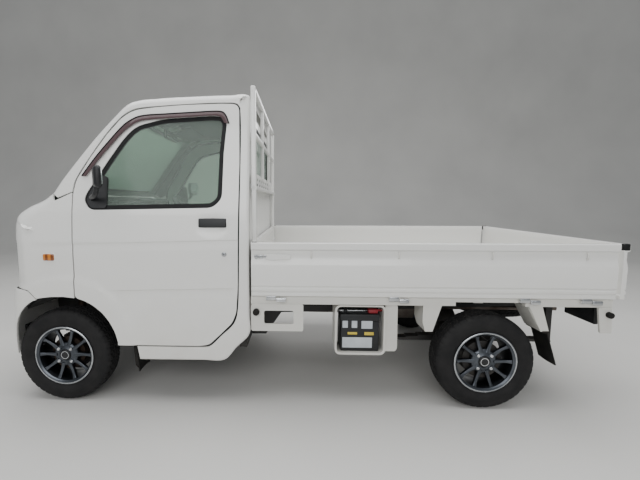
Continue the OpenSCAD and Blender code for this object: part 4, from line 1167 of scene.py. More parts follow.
slots = []
for row in (1.242, 1.274):
    for i in range(9):
        y = -0.52 + 0.13 * i
        slots.append(rounded([(y - 0.032, row - 0.008), (y + 0.032, row - 0.008), (y + 0.032, row + 0.008),
            (y - 0.032, row + 0.008)], 0.0075, 4))
plate = sheet([(-0.655, 1.222), (0.655, 1.222), (0.655, 1.306), (-0.655, 1.306)], slots, [-0.52 + 0.065 * i
    for i in range(17)], [1.242, 1.258, 1.274])
piece(thicken(lay(plate, lambda y, z: Vector((GX1 - 0.002, y, z))), 0.003, (BED_FRONT + 1, 0, 1.2)),
    "guard_slotted_plate", WHITE_ENAMEL, bevel=0.0008)
shelf = along("y", rounded([(GX0 - 0.004, 1.206), (GX1, 1.206), (GX1, 1.227), (GX0 - 0.001, 1.227), (GX0
    - 0.004, 1.222)], 0.002, 2), -0.66, 0.66)
piece(shelf, "guard_shelf", WHITE_ENAMEL, bevel=0.001)
front_wall = along("y", rounded([(GX0 + 0.004, 0.632), (GX0 + 0.004, 0.880), (GX0, 0.886), (GX0, 0.918),
    (GX0 + 0.004, 0.922), (GX1 - 0.002, 0.922), (GX1, 0.918), (GX1, 0.886), (GX1 - 0.008, 0.880), (GX1
    - 0.008, 0.632)], 0.002, 2), -GATE_IN + 0.008, GATE_IN - 0.008)
piece(front_wall, "bed_front_wall", WHITE_ENAMEL, bevel=0.001)
corner_plates = twin(join(block((GX1 - 0.001, 0.60, 1.19), (GX1 + 0.001, 0.665, 1.24), 0.0009), drum((GX1
    + 0.001, 0.641, 0.80), "x", 0.007, 0.006, 12, 0.001), drum((GX0 - 0.001, 0.641, 0.80), "x", 0.009,
    0.008, 6, 0.001), drum((GX0 - 0.001, 0.641, 0.70), "x", 0.009, 0.008, 6, 0.001)))
piece(corner_plates, "guard_bolts", BRIGHT_PLATE)
print("guard frame with", len(slots), "slots")

# %% [markdown]
# ## Under-bed brackets, stays and flaps
# Flat steel brackets hang under the bed: one carries the stop for the open gate, stays brace the
# sill ahead of and behind the rear wheel, and a rubber flap hangs from the rear stay.

# %% Brackets
SILL_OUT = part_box("bed_floor")[1].y


def side_plate(points, holes, y0, y1, radius=0.012):
    bm = sheet(rounded(points, radius, 5), holes, [points[0][0] + 0.001], [points[0][1] - 0.04])
    bm = lay(bm, lambda x, z: Vector((x, y1, z)))
    return thicken(bm, y1 - y0, (points[0][0], 0, 0.5))


fx = BED_FRONT
plate_points = [(fx - 0.287, 0.583), (fx - 0.287, 0.432), (fx - 0.001, 0.432), (fx - 0.001, 0.583)]
plate_hole = rounded([(fx - 0.234, 0.472), (fx - 0.072, 0.472), (fx - 0.072, 0.547), (fx - 0.234, 0.547)],
    0.012, 5)
front_bracket = side_plate(plate_points, [plate_hole], SILL_OUT - 0.026, SILL_OUT - 0.014)
rx = TAIL_X
rear_bracket = side_plate([(rx + 0.12, 0.583), (rx + 0.102, 0.444), (rx + 0.041, 0.444), (rx + 0.05,
    0.583)], [], SILL_OUT - 0.026, SILL_OUT - 0.014, 0.008)
wx = AXLE_R
stays = []
for y0, y1, top in ((SILL_OUT - 0.170, SILL_OUT - 0.032, 0.575), (SILL_OUT - 0.036, SILL_OUT - 0.024,
    0.583)):
    stays.append(along("y", [(wx + 0.245, top), (wx + 0.29, 0.437), (wx + 0.33, 0.437), (wx + 0.345, 0.49),
        (wx + 0.345, top)], y0, y1))
    stays.append(along("y", [(wx - 0.214, top), (wx - 0.283, 0.445), (wx - 0.326, 0.445), (wx - 0.284,
        top)], y0, y1))
piece(twin(join(front_bracket, rear_bracket, *stays)), "bed_brackets_and_stays", BRACKET_ENAMEL,
    nodes=("bed_brackets",), bevel=0.0012)
stops = twin(join(drum((fx - 0.03, SILL_OUT - 0.006, 0.541), "y", 0.018, 0.030, 28, 0.004), drum((fx - 0.03,
    SILL_OUT + 0.009, 0.541), "y", 0.008, 0.003, 16, 0.0005), drum((rx + 0.066, SILL_OUT - 0.006, 0.546),
    "y", 0.016, 0.030, 28, 0.004), drum((rx + 0.066, SILL_OUT + 0.009, 0.546), "y", 0.007, 0.003, 16,
    0.0005)))
piece(stops, "gate_stop_rubbers", FLAP_RUBBER, "body")


def hanging_flap(top_x, low_x, z_top, z_low, y0, y1):
    bm = bmesh.new()
    bmesh.ops.create_grid(bm, x_segments=8, y_segments=10, size=0.5)
    for v in bm.verts:
        s, t = v.co.x + 0.5, v.co.y + 0.5
        z = z_top + (z_low - z_top) * t
        x = top_x + (low_x - top_x) * t + 0.006 * math.sin(s * math.pi) * t
        v.co = (x, y0 + (y1 - y0) * s, z)
    rear = (top_x + 1, (y0 + y1) / 2, z_top)
    return thicken(bm, 0.006, rear)


flap_parts = [hanging_flap(wx - 0.318, wx - 0.378, 0.447, 0.259, SILL_OUT - 0.165, SILL_OUT - 0.024),
    block((wx - 0.326, SILL_OUT - 0.168, 0.436), (wx - 0.29, SILL_OUT - 0.022, 0.449), 0.003),
    hanging_flap(AXLE_F - 0.402, AXLE_F - 0.42, 0.335, 0.165, SIDE_Y - 0.2, SIDE_Y - 0.062), along("y",
    [(AXLE_F - 0.385, 0.33), (AXLE_F - 0.392, 0.2), (AXLE_F - 0.412, 0.18), (AXLE_F - 0.412, 0.37), (AXLE_F
    - 0.396, 0.37)], SIDE_Y - 0.198, SIDE_Y - 0.066)]
piece(twin(join(*flap_parts)), "mud_flaps_rubber", FLAP_RUBBER, "body", nodes=("mud_flaps",),
    bevel=0.001)
print("brackets and flaps made")

# %% [markdown]
# ## Battery box
# The battery stands in a folded strap tray with round lower corners, open to the side. Its case
# has a stepped lid, a clamp bar, blank pale labels and a red boot over one terminal.

# %% Battery and tray
bat_low, bat_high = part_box("battery")
strap_x0, strap_x1 = fx - 0.740, fx - 0.462
hoop_outer = rounded([(strap_x0, 0.575), (strap_x0, 0.294), (strap_x1, 0.294), (strap_x1, 0.575)], 0.034, 8)
hoop_inner = rounded([(strap_x0 + 0.011, 0.566), (strap_x0 + 0.011, 0.305), (strap_x1 - 0.011, 0.305),
    (strap_x1 - 0.011, 0.566)], 0.026, 8)
hoop = sheet(hoop_outer, [hoop_inner], [strap_x0 + 0.14], [0.40])
y_front, y_back = SILL_OUT - 0.036, SILL_OUT - 0.198
near = thicken(lay(hoop, lambda x, z: Vector((x, y_front, z))), y_front - y_back, (strap_x0 + 0.14, 0,
    0.43))
arm_plate = along("y", rounded([(fx - 0.738, 0.575), (fx - 0.738, 0.311), (fx - 0.80, 0.311), (fx - 0.809,
    0.33), (fx - 0.806, 0.575)], 0.012, 4), SILL_OUT - 0.06, SILL_OUT - 0.052)
piece(join(near, arm_plate), "battery_hoop", BRACKET_ENAMEL, nodes=("battery_tray",), bevel=0.0012)
case = [block(bat_low, (bat_high.x, bat_high.y, bat_high.z - 0.05), 0.006), block((bat_low.x - 0.003,
    bat_low.y - 0.003, bat_high.z - 0.05), (bat_high.x + 0.003, bat_high.y + 0.003, bat_high.z - 0.012),
    0.004)]
for i in range(6):
    x = bat_low.x + 0.022 + i * (bat_high.x - bat_low.x - 0.044) / 5
    case.append(drum((x, bat_low.y + 0.05, bat_high.z - 0.008), "z", 0.011, 0.010, 20, 0.002))
for x in (bat_low.x + 0.03, bat_high.x - 0.03):
    case.append(drum((x, bat_high.y - 0.03, bat_high.z - 0.006), "z", 0.009, 0.024, 16, 0.001))
piece(join(*case), "battery_case", BLACK_PLASTIC, "body", nodes=("battery",))
clamp = join(block((bat_low.x - 0.004, bat_high.y - 0.075, bat_high.z - 0.013), (bat_high.x + 0.004,
    bat_high.y - 0.055, bat_high.z - 0.005), 0.003), drum((bat_low.x - 0.006, bat_high.y - 0.065, 0.43),
    "z", 0.003, 0.22, 8), drum((bat_high.x + 0.006, bat_high.y - 0.065, 0.43), "z", 0.003, 0.22, 8))
piece(clamp, "battery_clamp", BRIGHT_PLATE)
LABEL_PAPER = moulded("coated_label_paper", "#C3C9CE", "#B2B8BD", 0.45, 4.0, 0.1)
LABEL_YELLOW = moulded("yellow_label_paper", "#D8C04A", "#C9B03C", 0.5, 4.0, 0.1)
BOOT_RED = moulded("red_terminal_rubber", "#9C2530", "#7E1D26", 0.5, 3.0, 0.3)


def label(a0, a1, z0, z1, lift=0.0012):
    return block((AXLE_F + a0 * MM, bat_high.y - 0.002, z0), (AXLE_F + a1 * MM, bat_high.y + lift, z1),
        0.0015, 2)


piece(join(label(-1607, -1577, 0.440, 0.484), label(-1659, -1628, 0.440, 0.484), label(-1743, -1682, 0.436,
    0.484), label(-1742, -1577, 0.326, 0.386)), "battery_blank_labels", LABEL_PAPER, "body")
piece(join(label(-1659, -1606, 0.402, 0.416), label(-1751, -1699, 0.399, 0.417)), "battery_blank_strips",
    LABEL_YELLOW, "body")
boot = join(block((bat_low.x + 0.004, bat_high.y - 0.052, bat_high.z - 0.012), (bat_low.x + 0.06, bat_high.y
    - 0.01, bat_high.z + 0.012), 0.008), tube([(bat_low.x + 0.02, bat_high.y - 0.03, bat_high.z + 0.004),
    (bat_low.x - 0.04, bat_high.y - 0.035, bat_high.z + 0.002), (bat_low.x - 0.10, bat_high.y - 0.06,
    bat_high.z - 0.01), (bat_low.x - 0.12, bat_high.y - 0.10, bat_high.z + 0.03)], 0.007, 10))
piece(boot, "battery_terminal_boot", BOOT_RED, "body")
black_lead = tube([(bat_high.x - 0.03, bat_high.y - 0.03, bat_high.z), (bat_high.x - 0.01, bat_high.y
    - 0.06, bat_high.z + 0.02), (bat_high.x + 0.01, bat_high.y - 0.1, bat_high.z + 0.035)], 0.006, 10)
piece(black_lead, "battery_lead", SEAL_RUBBER, "body")
print("battery box made")

# %% [markdown]
# ## Bumper
# The bumper skin is lofted round the nose in the same way as the panel above it, then trimmed
# with one prism whose outline is the seam under the nose and the edge of the wheel arch. A low
# intake with thin bars and a blank plate on two bolts finish the front.

# %% Bumper
BUMPER_OUTER = [(355, 276), (358, 320), (359.5, 390), (359, 455), (356, 530), (352, 600), (346, 664)]
BUMPER_INNER = [(90, z) for a, z in BUMPER_OUTER]
bumper_bm = loft(BUMPER_OUTER, BUMPER_INNER, [105] * 7, [(1, 0)] * 7, steps(0, 6, 30), steps(0, 1, 16)[:-1]
    + steps(1, 2, 14)[:-1] + steps(2, 3, 12))
bumper = piece(thicken(crossed(bumper_bm), 0.010, CAB_MIDDLE), "bumper_skin", WHITE_ENAMEL, "body",
    nodes=("front_bumper",), bevel=0.0014)
TRIM_LINE = [(520, 655.5), (240, 655.5), (190, 652.5), (163, 644), (130, 608), (121, 597), (140, 592), (159,
    582), (190, 556), (214, 528), (235, 494), (250, 460), (259, 425), (263, 390), (265, 350), (264, 316),
    (262, 288), (262, 200)]
trim = TRIM_LINE + [(20, 200), (20, 720), (520, 720)]
carve(bumper, [along("y", [(AXLE_F + a * MM, z * MM) for a, z in trim], -0.8, 0.8)])
intake = rounded([(-0.40, 0.318), (0.40, 0.318), (0.43, 0.352), (0.40, 0.386), (-0.40, 0.386), (-0.43,
    0.352)], 0.02, 4)
fog = [rounded([(s * 0.46, 0.325), (s * 0.60, 0.335), (s * 0.585, 0.405), (s * 0.47, 0.40)], 0.02, 4)
    for s in (-1, 1)]
carve(bumper, [along("x", hole, AXLE_F + 0.2, NOSE_X + 0.05) for hole in (intake, *fog)])
bars = [block((NOSE_X - 0.045, -0.43, 0.329 + 0.0155 * i), (NOSE_X - 0.018, 0.43, 0.3335 + 0.0155 * i),
    0.0015, 2) for i in range(4)]
bars += [block((NOSE_X - 0.045, -0.38 + 0.095 * i, 0.318), (NOSE_X - 0.024, -0.375 + 0.095 * i, 0.388),
    0.001, 2) for i in range(9)]
pockets = [block((NOSE_X - 0.072, s * 0.53 - 0.075, 0.318), (NOSE_X - 0.054, s * 0.53 + 0.075, 0.41), 0.006)
    for s in (-1, 1)]
piece(join(*bars, *pockets), "bumper_intake_bars", BLACK_PLASTIC, "body")
plate_bm = block((NOSE_X + 0.0005, -0.165, 0.425), (NOSE_X + 0.0025, 0.165, 0.585), 0.0009, 2)
backing = block((NOSE_X - 0.012, -0.14, 0.44), (NOSE_X + 0.0006, 0.14, 0.57), 0.002, 2)
piece(plate_bm, "front_blank_plate", LABEL_YELLOW)
piece(backing, "front_plate_backing", BLACK_PLASTIC, "body")
bolts = join(*[drum((NOSE_X + 0.0035, y, 0.560), "x", 0.006, 0.004, 6, 0.0008) for y in (-0.105, 0.105)])
piece(bolts, "front_plate_bolts", BRIGHT_PLATE)
print("bumper:", len(bumper.data.polygons), "faces")

# %% [markdown]
# ## Headlamps
# Each lamp fills an opening carved in the front corner. Its cover follows the nose surface, so
# it is the same loft, made thin and cut to a slightly smaller outline. Behind it sit a bright
# bowl, a bulb and an amber turn lamp in a dark housing.

# %% Headlamps
def lamp_outline(side, inset=0.0):
    shape = [(0.455, 0.685), (0.600, 0.672), (0.668, 0.676), (0.690, 0.760), (0.698, 0.925), (0.650, 0.944),
        (0.500, 0.905), (0.440, 0.840)]
    if side < 0:
        shape = [(-y, z) for y, z in reversed(shape)]
    return rounded(offset_outline(shape, inset), 0.035, 6)


carve(nose, [along("x", lamp_outline(s), AXLE_F + 0.12, NOSE_X + 0.05) for s in (-1, 1)])
cover = piece(thicken(crossed(nose_sheet()), 0.003, CAB_MIDDLE), "headlamp_covers", LAMP_COVER, "body",
    nodes=("headlamps",))
pair = join(*[along("x", lamp_outline(s, 0.003), AXLE_F + 0.12, NOSE_X + 0.05) for s in (-1, 1)])
carve(cover, [pair], "INTERSECT")
shells, bowls, ambers = [], [], []
for s in (-1, 1):
    wall = sheet(lamp_outline(s, 0.004), [lamp_outline(s, 0.009)], [s * 0.57], [0.8])
    depth = thicken(lay(wall, lambda y, z: Vector((AXLE_F + 0.325 - max(abs(y) - 0.46, 0) * 0.42
        - max(abs(y) - 0.62, 0) * 0.9, y, z))), 0.055, CAB_MIDDLE)
    shells.append(depth)
    rear = sheet(lamp_outline(s, 0.004), [], [s * 0.57], [0.8])
    shells.append(thicken(lay(rear, lambda y, z: Vector((AXLE_F + 0.235 - max(abs(y) - 0.52, 0) * 0.55, y,
        z))), 0.004, CAB_MIDDLE))
    bowl = bmesh.new()
    bmesh.ops.create_uvsphere(bowl, u_segments=40, v_segments=20, radius=0.072)
    upper_half = [v for v in bowl.verts if v.co.z > 0.012]
    bmesh.ops.delete(bowl, geom=upper_half, context="VERTS")
    bmesh.ops.transform(bowl, matrix=Matrix.Translation((AXLE_F + 0.288, s * 0.545, 0.765))
        @ Matrix.Rotation(math.pi / 2, 4, "Y") @ Matrix.Scale(0.9, 4, (0, 0, 1)), verts=bowl.verts[:])
    bowls.append(thicken(bowl, -0.0025, (AXLE_F + 0.4, s * 0.545, 0.765)))
    bowls.append(drum((AXLE_F + 0.268, s * 0.545, 0.765), "x", 0.011, 0.045, 20, 0.004))
    ambers.append(drum((AXLE_F + 0.225, s * 0.625, 0.875), "x", 0.034, 0.03, 32, 0.008))
piece(join(*shells), "headlamp_housings", BRIGHT_PLATE, "body")
piece(join(*bowls), "headlamp_bowls", BRIGHT_PLATE, "body")
piece(join(*ambers), "turn_lamps", AMBER_LENS, "body")
rim_bm = crossed(nose_sheet())
lamp_rims = piece(thicken(rim_bm, 0.006, CAB_MIDDLE), "headlamp_gaskets", SEAL_RUBBER, "body")
outer = join(*[along("x", lamp_outline(s, 0.0004), AXLE_F + 0.12, NOSE_X + 0.05) for s in (-1, 1)])
carve(lamp_rims, [outer], "INTERSECT")
carve(lamp_rims, [along("x", lamp_outline(s, 0.0035), AXLE_F + 0.1, NOSE_X + 0.06) for s in (-1, 1)])
print("headlamps made")

# %% [markdown]
# ## Windscreen seal and wipers
# The seal is a ring cut out of the same lofted surface as the pillars, a little proud of it. The
# two wipers lie on that surface too: each point of an arm is found on the loft and lifted off.

# %% Screen seal, cowl and wipers
screen_seal = piece(thicken(crossed(loft(RING_OUTER, RING_INNER, RING_RADIUS, RING_FALL, steps(0, 7, 70),
    spans_roof)), 0.009, CAB_MIDDLE), "windscreen_seal", SEAL_RUBBER, "body")
carve(screen_seal, [screen_cut(-0.004)], "INTERSECT")
carve(screen_seal, [screen_cut(0.018)])


def on_screen(y, k, lift):
    best = min((loft_point(RING_OUTER, RING_INNER, RING_RADIUS, RING_FALL, k, i / 40) for i in range(41)),
        key=lambda p: abs(p.y - abs(y)))
    return (best.x + lift * 0.83, y, best.z + lift * 0.56)


wiper_parts = []
for pivot, tip in ((0.30, -0.08), (-0.20, -0.56)):
    middle = (pivot + tip) / 2
    wiper_parts.append(drum(on_screen(pivot, 0.02, 0.008), "z", 0.013, 0.026, 20, 0.003))
    wiper_parts.append(tube([on_screen(pivot, 0.02, 0.02), on_screen(pivot - 0.06, 0.12, 0.026),
        on_screen(middle - 0.02, 0.42, 0.022)], 0.0055, 10))
    blade = [on_screen(pivot - 0.02 + (tip - pivot + 0.02) * i / 10, 0.40 + 0.05 * math.sin(i / 10
        * math.pi), 0.011) for i in range(11)]
    wiper_parts.append(tube(blade, 0.005, 8))
piece(join(*wiper_parts), "wipers", BLACK_PLASTIC, "body")
print("screen seal:", len(screen_seal.data.polygons), "faces")

# %% [markdown]
# ## Tail lamps
# The lamps hang under the tail in black housings. Only the rear face is glass, in red, amber and
# clear parts, so from the side they look dark.

# %% Tail lamps and rear plate
t_low, t_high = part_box("tail_lamps")
housings, reds, ambers, clears = [], [], [], []
for s in (-1, 1):
    y0, y1 = sorted((s * (t_high.y - 0.002), s * (t_high.y - 0.228)))
    housings.append(block((t_low.x + 0.009, y0, 0.472), (t_high.x - 0.002, y1, 0.568), 0.006))
    housings.append(block((t_high.x - 0.014, (y0 + y1) / 2 - 0.03, 0.560), (t_high.x - 0.004, (y0 + y1) / 2
        + 0.03, 0.60), 0.002))
    for group, f0, f1 in ((reds, 0.02, 0.5), (ambers, 0.52, 0.78), (clears, 0.8, 0.98)):
        e0, e1 = sorted((s * (t_high.y - 0.002 - 0.226 * f0), s * (t_high.y - 0.002 - 0.226 * f1)))
        group.append(block((t_low.x + 0.0005, e0, 0.478), (t_low.x + 0.012, e1, 0.562), 0.004))
piece(join(*housings), "tail_lamp_housings", BLACK_PLASTIC, "body", nodes=("tail_lamps",))
piece(join(*reds), "tail_lamp_red", RED_LENS, "body")
piece(join(*ambers), "tail_lamp_amber", AMBER_LENS, "body")
piece(join(*clears), "tail_lamp_clear", CLEAR_LENS, "body")
rear_plate = block((TAIL_X + 0.048, -0.165, 0.425), (TAIL_X + 0.0505, 0.165, 0.585), 0.001, 2)
hanger = block((TAIL_X + 0.051, -0.15, 0.44), (TAIL_X + 0.056, 0.15, 0.62), 0.002, 2)
piece(rear_plate, "rear_blank_plate", LABEL_YELLOW)
piece(hanger, "rear_plate_hanger", CHASSIS_BLACK, "body")
print("tail lamps made")

# %% [markdown]
# ## Tyres
# A tyre is a grid wrapped round an axle: one direction goes round, the other follows the cross
# section from bead to bead. Where the grid crosses the tread, a pattern function lowers the
# points that lie in a groove, which leaves real blocks. The pattern is measured in millimetres
# along the tread, so the blocks keep their size on any diameter.

# %% Tyre
SIDEWALL = [(156, 55), (164, 58.5), (171, 60.5), (176, 63.5), (183, 68.3), (190, 69.6), (192, 70.8), (203,
    72.0), (213, 72.5), (224, 72.1), (226, 71.2), (236, 70.0), (246, 66.6), (252, 64.6), (254, 63.0), (260,
    57.6), (264.5, 51)]
TREAD_Y = [51 - 1.5 * i for i in range(69)]
INNER_WALL = [(258, -44), (256, -30), (257, 0), (256, 30), (258, 44), (246, 56), (214, 62), (184, 57), (170,
    50), (156, 50)]


def tread_depth(angle, y):
    """Depth in mm of the tread pattern at an angle round the tyre and a place across it."""
    if min(abs(abs(y) - 14), abs(abs(y) - 33)) < 2.3:
        return 6.5
    pitch = 2 * math.pi / 44
    slant = (abs(y) - 20) * 0.0011 * (1 if y > 0 else -1)
    phase = ((angle + slant) / pitch) % 1.0
    if abs(y) > 33 and phase < 0.16:
        return 6.0
    if 14 < abs(y) < 33 and (phase + 0.5) % 1.0 < 0.16:
        return 5.0
    if abs(y) < 14 and (phase + 0.25 + y * 0.012) % 1.0 < 0.12:
        return 3.5
    return 0.0


def tyre_mesh():
    rings = [(r, y, "wall") for r, y in SIDEWALL]
    rings += [(268.0 - (abs(y) / 51) ** 4 * 3.5, y, "tread") for y in TREAD_Y]
    rings += [(r, -y, "wall") for r, y in reversed(SIDEWALL)] + [(r, y, "liner") for r, y in INNER_WALL]
    around = 264
    bm = bmesh.new()
    bmesh.ops.create_grid(bm, x_segments=around, y_segments=len(rings), size=0.5)
    for v in bm.verts:
        i = round((v.co.x + 0.5) * around)
        r, y, kind = rings[round((v.co.y + 0.5) * len(rings)) % len(rings)]
        angle = 2 * math.pi * i / around
        if kind == "tread":
            r -= tread_depth(angle, y)
        elif kind == "wall" and 252 <= r <= 266 and tread_depth(angle, 50 if y > 0 else -50):
            r, y = r - 2.5, y * 0.975
        v.co = (r * MM * math.cos(angle), y * MM, r * MM * math.sin(angle))
    bmesh.ops.remove_doubles(bm, verts=bm.verts[:], dist=1e-5)
    bmesh.ops.recalc_face_normals(bm, faces=bm.faces[:])
    return bm


def placed(bm, matrix):
    copy = bm.copy()
    bmesh.ops.transform(copy, matrix=matrix, verts=copy.verts[:])
    if matrix.determinant() < 0:
        bmesh.ops.reverse_faces(copy, faces=copy.faces[:])
    return copy


WHEELS = [("front_left", AXLE_F, 1), ("front_right", AXLE_F, -1), ("rear_left", AXLE_R, 1), ("rear_right",
    AXLE_R, -1)]


def at_wheel(x, side):
    return Matrix.Translation((x, side * TRACK_Y, TYRE_R)) @ Matrix.Scale(side, 4, (0, 1, 0))


tyre = tyre_mesh()
for place, x, side in WHEELS:
    piece(placed(tyre, at_wheel(x, side)), f"treaded_tyre_{place}", CARBON_TYRE, f"{place}_wheel",
        nodes=(f"tyre_{place}",), smooth_angle=35)
print("tyre:", len(tyre.faces), "faces")

# %% [markdown]
# ## Alloy wheels
# The rim is a turned section, and ten spokes run from the hub to it, each a block that narrows
# outwards and dishes inwards. Four nuts stand in their counterbores on the bolt circle, and a
# stepped cap fills the middle.

# %% Rim and spokes
RIM = [(144.5, -66), (166, -66.5), (170, -64), (170, -60.5), (165, -59.5), (154, -57), (152.4, -50), (146,
    -30), (146, 20), (152.4, 46), (154, 57), (163, 59.5), (167, 61), (168.5, 63.5), (168, 66.5), (165.5,
    67.6), (161, 66.6), (157, 62), (150.5, 58), (146, 44), (139, 20), (139, -30), (144, -50)]


def turned(profile, sides=120):
    """A closed (radius, y) outline in mm turned about the axle."""
    bm = bmesh.new()
    points = [bm.verts.new((r * MM, y * MM, 0)) for r, y in profile]
    edges = [bm.edges.new((a, b)) for a, b in zip(points, points[1:] + points[:1])]
    bmesh.ops.spin(bm, geom=points + edges, cent=(0, 0, 0), axis=(0, 1, 0), angle=2 * math.pi, steps=sides,
        use_duplicate=False)
    bmesh.ops.remove_doubles(bm, verts=bm.verts[:], dist=1e-5)
    bmesh.ops.recalc_face_normals(bm, faces=bm.faces[:])
    return bm


def spoke(turn):
    bm = bmesh.new()
    bmesh.ops.create_grid(bm, x_segments=4, y_segments=10, size=0.5)
    grown = bmesh.ops.extrude_face_region(bm, geom=bm.faces[:])
    top = {g for g in grown["geom"] if isinstance(g, bmesh.types.BMVert)}
    for v in bm.verts:
        across, t = v.co.x * 2, v.co.y + 0.5
        r = 52 + (148 - 52) * t
        width = 11.5 - 3.6 * math.sin(min(t * 1.15, 1) * math.pi / 2) + 3.0 * ease(0.8, 1.0, t)
        face = 55.5 - 7.5 * math.sin(t * math.pi) * (1 - 0.3 * t) + 2.5 * ease(0.75, 1.0,
            t) - 2.2 * across * across
        y = face if v in top else face - 21 + 6 * t
        v.co = (width * across * (1.0 if v in top else 1.12) * MM, y * MM, r * MM)
    bmesh.ops.transform(bm, matrix=Matrix.Rotation(turn, 4, "Y"), verts=bm.verts[:])
    bmesh.ops.recalc_face_normals(bm, faces=bm.faces[:])
    return bm


STUD = 0.05
hub_profile = [(12, 22), (70, 22), (70, 40), (66, 47), (58, 51), (40, 53.5), (36, 56), (34, 56.5), (32, 54),
    (12, 54)]
spider = join(turned(hub_profile, 96), *[spoke(math.radians(36 * i + 18)) for i in range(10)])
barrel = turned(RIM)
cap = join(turned([(1, 50), (31, 50), (31, 57), (28.5, 59.5), (26, 60), (24, 58.6), (1, 58.8)], 64))
cap_ring = turned([(19, 57.5), (22.5, 57.5), (22.5, 59.7), (19, 59.7)], 64)
nuts = []
for i in range(4):
    a = math.radians(90 * i + 45)
    spot = (STUD * math.sin(a), 0.0545, STUD * math.cos(a))
    nuts.append(drum(spot, "y", 0.0098, 0.014, 6, 0.0015))
    nuts.append(drum((spot[0], 0.062, spot[2]), "y", 0.0075, 0.006, 24, 0.0025))
nuts = join(*nuts)
lip = turned([(161.5, 67.2), (166, 68.1), (168.9, 66.8), (169.3, 63.5), (170, 61.5), (170, 63.9), (169.4,
    67.4), (166.2, 69.0), (161.2, 68.0)])
for place, x, side in WHEELS:
    at, body = at_wheel(x, side), f"{place}_wheel"
    piece(placed(barrel, at), f"rim_barrel_{place}", GUNMETAL_ALLOY, body,
        nodes=(f"wheel_{place}",), smooth_angle=32)
    piece(placed(spider, at), f"rim_spokes_{place}", GUNMETAL_ALLOY, body, bevel=0.0016)
    piece(placed(cap, at), f"centre_cap_{place}", BLACK_PLASTIC, body, smooth_angle=30)
    piece(join(placed(cap_ring, at), placed(nuts, at)), f"nuts_and_ring_{place}", BRIGHT_PLATE, body,
        smooth_angle=30)
    piece(placed(lip, at), f"machined_lip_{place}", MACHINED_LIP, body, smooth_angle=30)
    valve = drum((0.132 * math.cos(0.5), 0.055, 0.132 * math.sin(0.5)), "y", 0.0035, 0.022, 12, 0.001)
    piece(placed(valve, at), f"tyre_valve_{place}", SEAL_RUBBER, body)
print("rims:", len(barrel.faces), "faces, ten spokes each")

# %% [markdown]
# ## Spare wheel
# The spare lies flat under the bed on a plain pressed steel wheel, held up by a cross bar.

# %% Spare
s_low, s_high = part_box("spare_wheel")
sx, sy, sz = (s_low.x + s_high.x) / 2, (s_low.y + s_high.y) / 2, 0.437
flat = Matrix.Translation((sx, sy, sz)) @ Matrix.Rotation(-math.pi / 2, 4, "X")
piece(placed(tyre, flat), "treaded_tyre_spare", CARBON_TYRE, "body", nodes=("spare_wheel",),
    smooth_angle=35)
disc = turned([(31, 16), (60, 18), (78, 26), (96, 27), (118, 14), (139, 12), (139, 8), (117, 10), (95, 23),
    (78, 22), (60, 14), (31, 12)])
piece(placed(join(disc, placed(barrel, Matrix.Identity(4))), flat), "spare_steel_wheel", CHASSIS_BLACK,
    "body", smooth_angle=32)
print("spare at", round(sx, 3), round(sy, 3))

# %% [markdown]
# ## Seats
# Two seats stand on the deck behind the front axle. Each cushion and backrest starts as a
# rounded block of fine cells, is blown up a little as cloth with its rear or underside held,
# and so gets the soft crown and tension folds of stitched upholstery. The shape is then kept.

# %% Seat cushions
seat_low, seat_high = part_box("seats")


def stuffed(name, shape, pin, pressure):
    """A padded piece: fine cells, inflated as cloth where it isn't held."""
    obj = piece(shape, name, SEAT_CLOTH, "body")
    cells = obj.modifiers.new("cells", "REMESH")
    cells.mode, cells.voxel_size = "VOXEL", 0.012
    apply_modifiers(obj)
    obj.data.shade_smooth()
    start = [v.co.copy() for v in obj.data.vertices]
    held = obj.vertex_groups.new(name="held")
    held.add([v.index for v in obj.data.vertices if pin(v.co)], 1.0, "REPLACE")
    cloth = obj.modifiers.new("upholstery", "CLOTH")
    cloth.settings.vertex_group_mass = "held"
    cloth.settings.quality = 3
    cloth.settings.mass = 0.3
    cloth.settings.tension_stiffness = cloth.settings.compression_stiffness = 12
    cloth.settings.bending_stiffness = 0.8
    cloth.settings.shrink_min = -0.03
    cloth.settings.use_pressure = True
    cloth.settings.uniform_pressure_force = pressure
    cloth.settings.effector_weights.gravity = 0
    cloth.point_cache.frame_start, cloth.point_cache.frame_end = 1, 20
    for frame_number in range(1, 21):
        bpy.context.scene.frame_set(frame_number)
    apply_modifiers(obj)
    bpy.context.scene.frame_set(1)
    for v, old in zip(obj.data.vertices, start):
        moved = v.co - old
        if moved.length > 0.012:
            v.co = old + moved.normalized() * 0.012
    obj.data.materials.clear()
    obj.data.materials.append(SEAT_CLOTH)
    obj.data.shade_smooth()
    fine = obj.modifiers.new("fine", "SUBSURF")
    fine.levels = fine.render_levels = 1
    return obj


